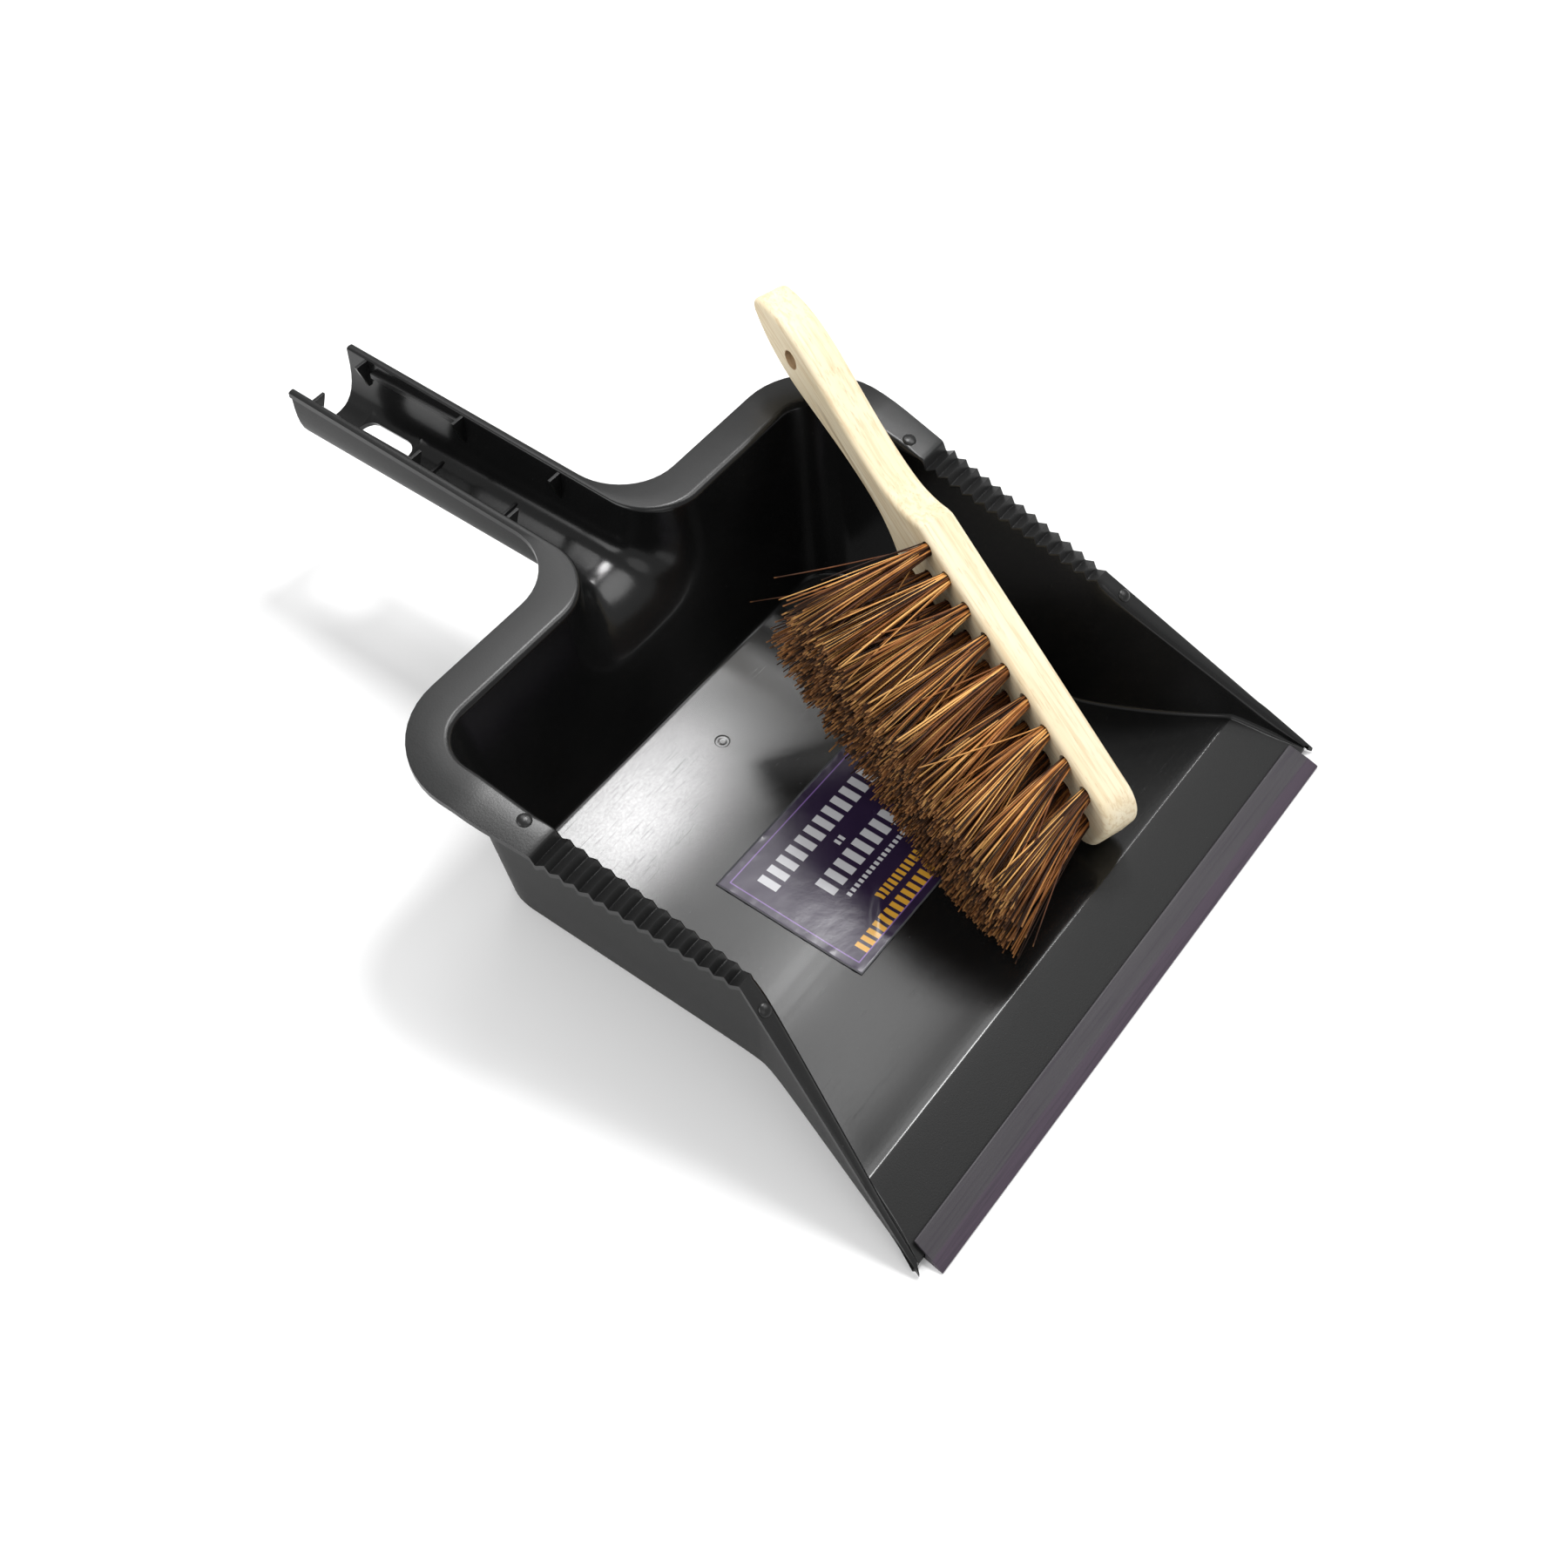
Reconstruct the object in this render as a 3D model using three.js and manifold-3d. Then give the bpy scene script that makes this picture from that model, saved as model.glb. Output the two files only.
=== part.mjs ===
// A large open dust pan with a trough handle and a soft front lip, and the hand brush that rests in it.
// Millimetres, +Z up. The pan's front edge runs along X and its handle points towards +Y.
import * as THREE from "three";
import { mergeVertices } from "three/addons/utils/BufferGeometryUtils.js";
import Module from "manifold-3d";

// ---- the pan's body, measured from its front edge
const WALL = 2.6; // thickness of walls, floor and trough
const BASE_FRONT_HALF = 165; // half width of the base at the front edge
const BASE_SIDE_HALF = 125.2; // half width of the base behind the flare
const FLARE_END_Y = 105; // where the flared front meets the straight sides
const BASE_BACK_Y = 259.5; // back of the base, outside
const CORNER_R = 22.5; // back corners of the wall, outside
const DRAFT_TOP_Z = 112; // height at which the drafted walls are stated
const TOP_SIDE_HALF = 135;
const TOP_BACK_Y = 277.2;

// ---- the rim's flange, as seen from above
const RIM_T = 3; // its thickness
const RIM_START_Z = 2.4; // its top at the front edge
const TEETH_START = [109.2, 79.2]; // [y, z] of the toothed stretch's front end
const TEETH_END = [206.7, 96.4];
const TEETH = 14; // on each side
const TOOTH_DEPTH = 3.2;
const TOOTH_STEEP = 0.33; // share of the pitch taken by each tooth's steep front face
const RIM_BACK = [246, 103.4]; // where the side rim's slope ends
const RIM_OUT_HALF = 152;
const RIM_OUT_BACK_Y = 292.5;
const RIM_OUT_R = 42;
const RIM_IN_HALF = 132;
const RIM_IN_BACK_Y = 273.5;
const RIM_IN_R = 20;
const PIMPLE = { r: 3.2, h: 1.1, y: 218.6, x: 136.8 };
const PIP = { r: 2.4, h: 0.8, y: 97.5, x: 136.4 };

// ---- the floor and the ramp, as [y, z] of their upper surface
const RAMP_FRONT = [3.5, 3.4];
const RAMP_FOLD = [37.3, 14.7];
const FLOOR_REAR_Z = WALL;
const FLOOR_FLAT_Y = 126;

// ---- the trough handle
const HANDLE_END_Y = 463.7;
const HANDLE_END_Z = 110.4; // top of its rims
const TROUGH_IN_HALF = 17.6;
const TROUGH_DEPTH = 26.7; // below the rims where it leaves the back wall
const HANDLE_RIM_HALF = 21.3;
const BLEND_R = 28; // plan radius of the blend between trough and back wall
const BLEND_DROP = 27; // how far the trough's bottom drops through the blend
const BLEND_Y = RIM_IN_BACK_Y + BLEND_R;
const SLOT = { half: 9.2, y0: 416, y1: 448, r: 6 };
const GUSSETS_Y = [330.5, 389.5, 450.5];
const GUSSET = { reach: 7, drop: 15, t: 1.8 };
const LEDGE = { y0: 393, y1: 447, w: 2.6, h: 3, down: 3.4 };
const TROUGH_RIBS_Y = [352, 398];

// ---- the lip that takes up the front edge
const LIP_BACK_HALF = 156;
const LIP_FRONT_HALF = 158;
const LIP_NOSE_Y = -6.4;
const LIP_BACK_Y = 9.4;
const FIT_GAP = 0.35; // between touching pieces

// ---- the label on the floor
const LABEL = { x0: -65.8, x1: 41, y0: 98.6, y1: 179.2, t: 0.25 };

// ---- the brush, in its own axes: u from head to handle, v across, w from underside to back
const STOCK_T = 18;
const HEAD_HALF = 21.9;
const HEAD_END_U = -10.4;
const HEAD_R = 14.4; // corners of the head's free end
const NECK_U = 147.7;
const STOCK_EDGE = 3; // rounding of its edges
const HANG_HOLE = { u: 252.3, v: 0.6, r: 4.7 };
const HANDLE_HALVES = [
  [156, 16.6], [163, 12.9], [172, 9.9], [186, 8.6], [204, 9.3], [224, 11.6], [240, 13.8],
  [251, 14.3], [262, 13.4], [272, 10.8], [281, 6.6], [287, 2.4],
];
const TUFT_ROWS = 3;
const TUFTS_PER_ROW = 9;
const TUFT_PITCH = 16.2;
const ROW_PITCH = 15.9;
const FIRST_TUFT_U = 9.9; // of the outer rows
const STAGGER_U = -8.1; // of the middle row
const TUFT_HOLE = { r: 3.7, depth: 9.5 };
const TUFT = {
  rootR: 3.3,
  seat: 9,
  length: 61,
  spreadU: 1.35,
  spreadV: 1.12,
  tipU: 10.6,
  tipV: 8.6,
};
const TUFT_FLOOR_GAP = 0.9; // the tufts are cut off this far above the floor

// ---- how the brush rests in the pan
const BRUSH_AT = new THREE.Vector3(42.3, 54.6, 33.8);
const BRUSH_ALONG = new THREE.Vector3(0.305, 0.873, 0.38).normalize();
const BRUSH_UP = new THREE.Vector3(0.931, -0.357, 0.074);

const COLOURS = {
  pan: 0x1d1e20,
  lip: 0x3b3740,
  label: 0x2b1f3d,
  wood: 0xe6d3ac,
  fibre: 0x6b3c1c,
};

const wasm = await Module();
wasm.setup();
const { Manifold, CrossSection } = wasm;

// A manifold-3d solid from a three.js geometry.
function solid(geometry) {
  const bare = new THREE.BufferGeometry();
  bare.setAttribute("position", geometry.getAttribute("position"));
  bare.setIndex(geometry.getIndex());
  const merged = mergeVertices(bare, 1e-4);
  return new Manifold(
    new wasm.Mesh({
      numProp: 3,
      vertProperties: merged.attributes.position.array,
      triVerts: new Uint32Array(merged.index.array),
    }),
  );
}

// A closed solid through rings that hold the same number of points each, turning in one sense.
function loft(rings) {
  const n = rings[0].length;
  const points = rings.flat();
  const index = [];
  for (let k = 0; k + 1 < rings.length; k++) {
    for (let i = 0; i < n; i++) {
      const a = k * n + i;
      const b = k * n + ((i + 1) % n);
      index.push(a, b, b + n, a, b + n, a + n);
    }
  }
  for (const [k, flip] of [[0, true], [rings.length - 1, false]]) {
    const flat = flatten(rings[k]);
    for (const [a, b, c] of THREE.ShapeUtils.triangulateShape(flat, [])) {
      const tri = flip ? [a, c, b] : [a, b, c];
      index.push(...tri.map((i) => k * n + i));
    }
  }
  const geometry = new THREE.BufferGeometry();
  geometry.setAttribute("position", new THREE.Float32BufferAttribute(points.flat(), 3));
  geometry.setIndex(index);
  const made = solid(geometry);
  if (made.volume() > 0) return made;
  geometry.setIndex(index.map((v, i, all) => all[i - (i % 3) + [0, 2, 1][i % 3]]));
  return solid(geometry);
}

// A planar ring's points in a plane of their own, in the same turning sense.
function flatten(ring) {
  const p = ring.map((q) => new THREE.Vector3(...q));
  const normal = new THREE.Vector3();
  p.forEach((q, i) => normal.add(q.clone().cross(p[(i + 1) % p.length])));
  normal.normalize();
  const along = p[1].clone().sub(p[0]).normalize();
  const across = normal.clone().cross(along);
  return p.map((q) => new THREE.Vector2(q.dot(along), q.dot(across)));
}

// A prism of a plan outline between two heights.
function prismZ(outline, z0, z1) {
  return new CrossSection([outline], "NonZero").extrude(z1 - z0).translate([0, 0, z0]);
}

// A prism along X of an outline given as [y, z], from x0 to x1.
function prismX(outline, x0, x1) {
  const flat = new CrossSection([outline], "NonZero").extrude(x1 - x0);
  return flat.transform([0, 1, 0, 0, 0, 0, 1, 0, 1, 0, 0, 0, x0, 0, 0, 1]);
}

function box(x0, x1, y0, y1, z0, z1) {
  return Manifold.cube([x1 - x0, y1 - y0, z1 - z0]).translate([x0, y0, z0]);
}

// Points of an arc about [x, y], from angle a0 to a1 in degrees.
function arc(x, y, r, a0, a1, steps) {
  return Array.from({ length: steps + 1 }, (_, i) => {
    const t = THREE.MathUtils.degToRad(a0 + ((a1 - a0) * i) / steps);
    return [x + r * Math.cos(t), y + r * Math.sin(t)];
  });
}

// Both halves of a plan outline, from its right half listed from front to back.
function bothSides(right) {
  return [...right, ...right.map(([x, y]) => [-x, y]).reverse()];
}

function lerp(table, at) {
  let k = 1;
  while (k < table.length - 1 && table[k][0] < at) k++;
  const [[a, va], [b, vb]] = [table[k - 1], table[k]];
  return va + ((vb - va) * (at - a)) / (b - a);
}

// The rim's height at y, without its teeth.
const RIM_LINE = [[0, RIM_START_Z], TEETH_START, TEETH_END, RIM_BACK, [HANDLE_END_Y, HANDLE_END_Z]];
const rimZ = (y) => lerp(RIM_LINE, y);

// The floor's upper surface, from the front edge to the back wall: ramp, fold, a soft valley, then flat.
const FLOOR_TOP = [
  RAMP_FRONT,
  [RAMP_FOLD[0] - 2, RAMP_FOLD[1] - 0.9],
  RAMP_FOLD,
  [RAMP_FOLD[0] + 2.5, RAMP_FOLD[1] - 0.5],
  [60, 10.6],
  [80, 7.1],
  [95, 4.8],
  [110, 3.3],
  [FLOOR_FLAT_Y, FLOOR_REAR_Z],
  [BASE_BACK_Y + 8, FLOOR_REAR_Z],
];

function wallOutline(frontHalf, sideHalf, backY, inset, z) {
  const r = CORNER_R - inset;
  const x = sideHalf - CORNER_R;
  const y = backY - CORNER_R;
  const front = inset > 0 ? -12 : 0;
  const slope = (frontHalf - sideHalf) / FLARE_END_Y;
  const out = frontHalf - inset * Math.hypot(1, slope) - slope * front;
  const right = [
    [out, front],
    [sideHalf - inset + 1.4, FLARE_END_Y - 4],
    [sideHalf - inset, FLARE_END_Y + 8],
    ...arc(x, y, r, 0, 90, 6),
  ];
  return bothSides(right).map(([px, py]) => [px, py, z]);
}

// The body of the drafted wall, inside or outside, from below the base to above the rim.
function wallBlock(inset) {
  const z0 = inset > 0 ? -DRAFT_TOP_Z : 0;
  const at = (base, top, z) => base + ((top - base) * z) / DRAFT_TOP_Z;
  const ring = (z) =>
    wallOutline(
      at(BASE_FRONT_HALF, BASE_FRONT_HALF + TOP_SIDE_HALF - BASE_SIDE_HALF, z),
      at(BASE_SIDE_HALF, TOP_SIDE_HALF, z),
      at(BASE_BACK_Y, TOP_BACK_Y, z),
      inset,
      z,
    );
  return loft([ring(z0), ring(DRAFT_TOP_Z)]);
}

// The rim's upper line with its teeth, as [y, z].
function toothedRim() {
  const [y0, z0] = TEETH_START;
  const [y1, z1] = TEETH_END;
  const teeth = [];
  for (let i = 0; i < TEETH; i++) {
    const at = (f) => {
      const share = (i + f) / TEETH;
      return [y0 + (y1 - y0) * share, z0 + (z1 - z0) * share];
    };
    const [ya, za] = at(1 - TOOTH_STEEP);
    teeth.push([ya, za - TOOTH_DEPTH]);
    if (i + 1 < TEETH) teeth.push(at(1));
  }
  const front = [[-2, RIM_START_Z - 1.4], [0, RIM_START_Z]];
  return [...front, TEETH_START, ...teeth, TEETH_END, ...RIM_LINE.slice(3)];
}

function flangeOutline() {
  const right = [
    [BASE_FRONT_HALF, 0],
    [137.8, TEETH_START[0]],
    [148, TEETH_END[0]],
    [RIM_OUT_HALF - 0.6, 234],
    ...arc(RIM_OUT_HALF - RIM_OUT_R, RIM_OUT_BACK_Y - RIM_OUT_R, RIM_OUT_R, 0, 90, 8),
    ...arc(
      HANDLE_RIM_HALF + BLEND_R + 3,
      RIM_OUT_BACK_Y + BLEND_R,
      BLEND_R + 3,
      270,
      180,
      6,
    ).map(([x, y]) => [x, y + 3]),
    [HANDLE_RIM_HALF, HANDLE_END_Y],
  ];
  return bothSides(right);
}

function rimHole() {
  const right = [
    [BASE_FRONT_HALF - 5, -1],
    [BASE_FRONT_HALF - 7, 8],
    [144.1, 53.2],
    [129.4, 106],
    [129.2, TEETH_START[0] + 2],
    [129.8, TEETH_END[0]],
    ...arc(RIM_IN_HALF - RIM_IN_R, RIM_IN_BACK_Y - RIM_IN_R, RIM_IN_R, 0, 90, 6),
    ...arc(TROUGH_IN_HALF + BLEND_R, BLEND_Y, BLEND_R, 270, 180, 6),
    [TROUGH_IN_HALF, HANDLE_END_Y + 2],
  ];
  return bothSides(right);
}

// A cross-section of the trough: a deep U that is open at its rims.
function troughRing(y, half, depth, lean, lift) {
  const ring = [];
  const steps = 14;
  const top = rimZ(Math.max(y, BLEND_Y)) + lift;
  for (let i = 0; i <= steps; i++) {
    const t = (Math.PI * i) / steps;
    const x = -half * Math.sign(Math.cos(t)) * Math.abs(Math.cos(t)) ** 0.75;
    const z = top - lift - depth * Math.abs(Math.sin(t)) ** 0.75;
    const up = i === 0 || i === steps ? top : z;
    ring.push([x, y + lean * (z - rimZ(BLEND_Y)), up]);
  }
  return ring;
}

// The inside or outside of the trough and of its blend into the back wall.
function troughBlock(out) {
  const wallLean = (TOP_BACK_Y - BASE_BACK_Y) / DRAFT_TOP_Z;
  const lift = out > 0 ? -1.2 : 8;
  const rings = [];
  const steps = 6;
  const end = out > 0 ? HANDLE_END_Y : HANDLE_END_Y + 3;
  const straightDepth = (y) => TROUGH_DEPTH + rimZ(y) - rimZ(BLEND_Y);
  for (const y of [end, 400]) {
    rings.push(troughRing(y, TROUGH_IN_HALF + out, straightDepth(y) + out, 0, lift));
  }
  for (let i = 0; i <= steps; i++) {
    const t = (Math.PI * i) / (2 * steps);
    const open = 1 - Math.cos(t);
    const y = BLEND_Y - BLEND_R * Math.sin(t) + out * Math.sin(t) * 0.5;
    const half = TROUGH_IN_HALF + BLEND_R * open + out * Math.cos(t);
    const depth = TROUGH_DEPTH + BLEND_DROP * open + out * Math.cos(t);
    rings.push(troughRing(y, half, depth, wallLean * open, lift));
  }
  if (out === 0) {
    const last = rings[rings.length - 1];
    rings.push(last.map(([x, y, z]) => [x, y - 14, z]));
  }
  return loft(rings);
}

function gussets() {
  const made = [];
  for (const y of GUSSETS_Y) {
    for (const side of [-1, 1]) {
      const top = rimZ(y) - 1;
      const wall = side * (TROUGH_IN_HALF + 0.8);
      const tip = side * (TROUGH_IN_HALF - GUSSET.reach);
      const foot = top - GUSSET.drop;
      const plate = [[wall, top], [tip, top], [side * (TROUGH_IN_HALF - 1), foot], [wall, foot]];
      const flat = new CrossSection([plate], "EvenOdd").extrude(GUSSET.t);
      made.push(flat.transform([1, 0, 0, 0, 0, 0, 1, 0, 0, -1, 0, 0, 0, y + GUSSET.t / 2, 0, 1]));
    }
  }
  for (const side of [-1, 1]) {
    const top = rimZ(LEDGE.y0) - LEDGE.down;
    const x = [side * (TROUGH_IN_HALF - LEDGE.w), side * (TROUGH_IN_HALF + 1)].sort((a, b) => a - b);
    made.push(box(x[0], x[1], LEDGE.y0, LEDGE.y1, top - LEDGE.h, top));
  }
  for (const y of TROUGH_RIBS_Y) {
    const bottom = rimZ(BLEND_Y) - TROUGH_DEPTH;
    made.push(box(-9, 9, y - 0.8, y + 0.8, bottom - 1, bottom + 1.6));
  }
  return made;
}

function panBody() {
  const rimBelow = (drop, yEnd) => [
    ...toothedRim().filter(([y]) => y < yEnd).map(([y, z]) => [y, z - drop]),
    [yEnd, rimZ(yEnd) - drop],
  ];
  const rim = toothedRim();
  const band = [...rim.map(([y, z]) => [y, z - RIM_T]), ...[...rim].reverse()];
  const outer = wallBlock(0);
  const inner = wallBlock(WALL);
  const underRim = [[-3, -1], [HANDLE_END_Y, -1], ...rimBelow(1.3, HANDLE_END_Y).reverse()];
  const walls = outer.subtract(inner).intersect(prismX(underRim, -220, 220));
  const floorBand = [
    ...FLOOR_TOP.map(([y, z]) => [y, Math.max(0, z - WALL)]),
    ...[...FLOOR_TOP].reverse(),
  ];
  const floor = prismX(floorBand, -220, 220).intersect(outer);
  const ring = prismZ(flangeOutline(), -20, 160).subtract(prismZ(rimHole(), -20, 160));
  const flange = ring.intersect(prismX(band, -220, 220));
  const above = box(-220, 220, -20, 500, 0, 200);
  const hollow = troughBlock(0);
  let pan = Manifold.union([walls, flange, troughBlock(WALL)]).subtract(hollow);
  pan = Manifold.union([pan, floor, ...gussets()]).intersect(above);
  const { half, y0, y1, r } = SLOT;
  const slot = [
    ...arc(half - r, y0 + r, r, 270, 360, 3),
    ...arc(half - r, y1 - r, r, 0, 90, 3),
    ...arc(r - half, y1 - r, r, 90, 180, 3),
    ...arc(r - half, y0 + r, r, 180, 270, 3),
  ];
  pan = pan.subtract(prismZ(slot, 60, 92));
  for (const side of [-1, 1]) {
    for (const dot of [PIMPLE, PIP]) {
      const peg = Manifold.cylinder(dot.h + 1, dot.r, dot.r * 0.7, 12);
      pan = pan.add(peg.translate([side * dot.x, dot.y, rimZ(dot.y) - 1]));
    }
  }
  return pan;
}

function lipSeal() {
  const ramp = (y) => lerp([RAMP_FRONT, RAMP_FOLD], y);
  const grooveY = RAMP_FRONT[0] - FIT_GAP;
  const profile = [
    [LIP_NOSE_Y, 0],
    [8.5, 0],
    [8.5, 0.5],
    [grooveY, 0.45],
    [grooveY, ramp(grooveY) + FIT_GAP],
    [LIP_BACK_Y, ramp(LIP_BACK_Y) + FIT_GAP],
    [LIP_BACK_Y - 0.2, ramp(LIP_BACK_Y) + 1.9],
    [LIP_BACK_Y - 0.8, ramp(LIP_BACK_Y) + 2.1],
    [LIP_NOSE_Y + 1.2, 1.3],
    [LIP_NOSE_Y, 0.7],
  ];
  const plan = bothSides([[LIP_FRONT_HALF, LIP_NOSE_Y - 1], [LIP_BACK_HALF, LIP_BACK_Y + 1]]);
  return prismX(profile, -170, 170).intersect(prismZ(plan, -2, 20));
}

// The floor's surface raised by a gap, between two values of y.
function floorLine(y0, y1, gap) {
  const between = FLOOR_TOP.filter(([y]) => y > y0 && y < y1);
  return [y0, ...between.map(([y]) => y), y1].map((y) => [y, lerp(FLOOR_TOP, y) + gap]);
}

function label() {
  const lower = floorLine(LABEL.y0, LABEL.y1, FIT_GAP);
  const upper = floorLine(LABEL.y0, LABEL.y1, FIT_GAP + LABEL.t).reverse();
  return prismX([...lower, ...upper], LABEL.x0, LABEL.x1);
}

const brushUp = BRUSH_UP.clone().addScaledVector(BRUSH_ALONG, -BRUSH_UP.dot(BRUSH_ALONG)).normalize();
const brushAcross = brushUp.clone().cross(BRUSH_ALONG);
const brushFrame = new THREE.Matrix4()
  .makeBasis(BRUSH_ALONG, brushAcross, brushUp)
  .setPosition(BRUSH_AT);

function stockShape() {
  const end = arc(HEAD_END_U + HEAD_R, HEAD_HALF - HEAD_R, HEAD_R, 180, 90, 6);
  const upper = [...end, [NECK_U, HEAD_HALF], ...HANDLE_HALVES];
  const points = [...upper, ...upper.map(([u, v]) => [u, -v]).reverse()];
  return new THREE.Shape(points.map(([u, v]) => new THREE.Vector2(u, v)));
}

function tuftRoots() {
  const roots = [];
  for (let row = 0; row < TUFT_ROWS; row++) {
    const v = ROW_PITCH * ((TUFT_ROWS - 1) / 2 - row);
    const shift = row === 1 ? STAGGER_U : 0;
    for (let i = 0; i < TUFTS_PER_ROW; i++) {
      const name = `tuft_${"abc"[row]}${i + 1}`;
      roots.push({ name, u: FIRST_TUFT_U + shift + TUFT_PITCH * i, v });
    }
  }
  return roots;
}

function brushStock() {
  const blank = new THREE.ExtrudeGeometry(stockShape(), {
    depth: STOCK_T - 2 * STOCK_EDGE,
    bevelThickness: STOCK_EDGE,
    bevelSize: STOCK_EDGE,
    bevelOffset: -STOCK_EDGE,
    bevelSegments: 2,
    curveSegments: 6,
  });
  blank.translate(0, 0, STOCK_EDGE);
  let stock = solid(blank);
  for (const { u, v } of tuftRoots()) {
    const hole = Manifold.cylinder(TUFT_HOLE.depth + 1, TUFT_HOLE.r, TUFT_HOLE.r, 12);
    stock = stock.subtract(hole.translate([u, v, -1]));
  }
  const hang = Manifold.cylinder(STOCK_T + 2, HANG_HOLE.r, HANG_HOLE.r, 20);
  stock = stock.subtract(hang.translate([HANG_HOLE.u, HANG_HOLE.v, -1]));
  return stock.transform(brushFrame.elements);
}

function tuft({ u, v }) {
  const middle = FIRST_TUFT_U + (TUFT_PITCH * (TUFTS_PER_ROW - 1)) / 2;
  const tip = { u: middle + (u - middle) * TUFT.spreadU, v: v * TUFT.spreadV };
  const ring = (w, t) => {
    const [cu, cv] = [u + (tip.u - u) * t, v + (tip.v - v) * t];
    const ru = TUFT.rootR + (TUFT.tipU - TUFT.rootR) * t;
    const rv = TUFT.rootR + (TUFT.tipV - TUFT.rootR) * t;
    return arc(0, 0, 1, 0, 330, 11).map(([c, s]) => [cu + ru * c, cv + rv * s, w]);
  };
  const body = loft([
    ring(TUFT.seat, 0),
    ring(-0.5, 0),
    ring(-TUFT.length * 0.5, 0.5),
    ring(-TUFT.length, 1),
  ]);
  const floor = floorLine(RAMP_FRONT[0], 260, TUFT_FLOOR_GAP);
  const under = [[-50, -40], [300, -40], ...floor.reverse(), [-50, 0]];
  return body.transform(brushFrame.elements).subtract(prismX(under, -200, 200));
}

function mesh(name, made, colour, roughness) {
  const { vertProperties, triVerts, numProp } = made.getMesh();
  const position = new Float32Array((vertProperties.length / numProp) * 3);
  for (let i = 0; i < position.length; i++) {
    position[i] = vertProperties[Math.floor(i / 3) * numProp + (i % 3)];
  }
  const geometry = new THREE.BufferGeometry();
  geometry.setAttribute("position", new THREE.BufferAttribute(position, 3));
  geometry.setIndex(new THREE.BufferAttribute(triVerts, 1));
  geometry.computeVertexNormals();
  const material = new THREE.MeshStandardMaterial({ color: colour, roughness, flatShading: true });
  const node = new THREE.Mesh(geometry, material);
  node.name = name;
  return node;
}

const set = new THREE.Group();
set.add(mesh("pan_body", panBody(), COLOURS.pan, 0.35));
set.add(mesh("lip_seal", lipSeal(), COLOURS.lip, 0.5));
set.add(mesh("label", label(), COLOURS.label, 0.25));
set.add(mesh("brush_stock", brushStock(), COLOURS.wood, 0.7));
for (const root of tuftRoots()) set.add(mesh(root.name, tuft(root), COLOURS.fibre, 0.9));

// The set stands with the middle of its footprint at the origin.
set.position.y = -(HANDLE_END_Y + LIP_NOSE_Y) / 2;

const part = new THREE.Group();
part.add(set);
export default part;
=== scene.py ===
import math
import random

import bmesh
import bpy
from mathutils import Matrix, Vector, noise


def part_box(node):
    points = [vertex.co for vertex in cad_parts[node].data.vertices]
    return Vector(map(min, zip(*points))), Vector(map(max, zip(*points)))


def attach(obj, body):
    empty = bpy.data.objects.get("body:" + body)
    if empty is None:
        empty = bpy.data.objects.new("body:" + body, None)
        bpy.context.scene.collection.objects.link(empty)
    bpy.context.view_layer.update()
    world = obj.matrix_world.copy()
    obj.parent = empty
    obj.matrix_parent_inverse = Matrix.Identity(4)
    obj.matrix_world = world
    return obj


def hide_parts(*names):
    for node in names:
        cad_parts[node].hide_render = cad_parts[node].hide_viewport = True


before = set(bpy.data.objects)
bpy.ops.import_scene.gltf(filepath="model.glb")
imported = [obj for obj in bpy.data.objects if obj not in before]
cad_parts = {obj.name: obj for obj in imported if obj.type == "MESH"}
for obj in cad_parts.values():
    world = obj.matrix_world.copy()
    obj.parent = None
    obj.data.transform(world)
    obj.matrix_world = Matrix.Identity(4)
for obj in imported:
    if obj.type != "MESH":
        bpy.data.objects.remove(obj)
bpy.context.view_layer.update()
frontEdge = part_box("pan_body")[0].y  # the pan's front edge in the frame, metres
mm = 0.001
softEdge = 0.3 * mm  # the rounding of moulded edges


def fromPan(x, y, z):  # millimetres from the middle of the pan's front edge to the frame
    return Vector((x * mm, frontEdge + y * mm, z * mm))


def newPiece(name, bm, body, materials):
    mesh = bpy.data.meshes.new(name)
    bm.to_mesh(mesh)
    bm.free()
    for polygon in mesh.polygons:
        polygon.use_smooth = True
    for material in materials:
        mesh.materials.append(material)
    piece = bpy.data.objects.new(name, mesh)
    bpy.context.scene.collection.objects.link(piece)
    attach(piece, body)
    print(name, "faces", len(mesh.polygons))
    return piece


def vertsOf(made):  # the vertices that an operator says it made
    return [v for v in made["geom"] if isinstance(v, bmesh.types.BMVert)]


def turnOutward(bm):
    bmesh.ops.recalc_face_normals(bm, faces=bm.faces)
    if bm.calc_volume(signed=True) < 0:
        bmesh.ops.reverse_faces(bm, faces=bm.faces)


def intoFrame(bm):  # a mesh made in the pan's millimetres goes to its place
    for v in bm.verts:
        v.co = fromPan(*v.co)


def softenEdges(piece, angle=35):  # rounds every edge sharper than the angle, in degrees
    bevel = piece.modifiers.new("edges", "BEVEL")
    bevel.width = softEdge
    bevel.segments = 2
    bevel.limit_method = "ANGLE"
    bevel.angle_limit = math.radians(angle)
    bevel.use_clamp_overlap = True
    weighted = piece.modifiers.new("shading", "WEIGHTED_NORMAL")
    weighted.keep_sharp = True


def between(table, at):  # straight lines through pairs of place and value
    for (a, va), (b, vb) in zip(table, table[1:]):
        if at <= b:
            break
    return va + (vb - va) * (at - a) / (b - a)


def curveThrough(points, steps):  # a smooth line through plan points
    made = []
    for k in range(len(points) - 1):
        a, b = Vector(points[k]), Vector(points[k + 1])
        before = Vector(points[k - 1]) if k else a * 2 - b
        after = Vector(points[k + 2]) if k + 2 < len(points) else b * 2 - a
        for s in range(steps):
            t = s / steps
            made.append(0.5 * (2 * a + (b - before) * t + (2 * before - 5 * a + 4 * b - after) * t * t
                               + (3 * a - before - 3 * b + after) * t ** 3))
    made.append(Vector(points[-1]))
    return made


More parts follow.
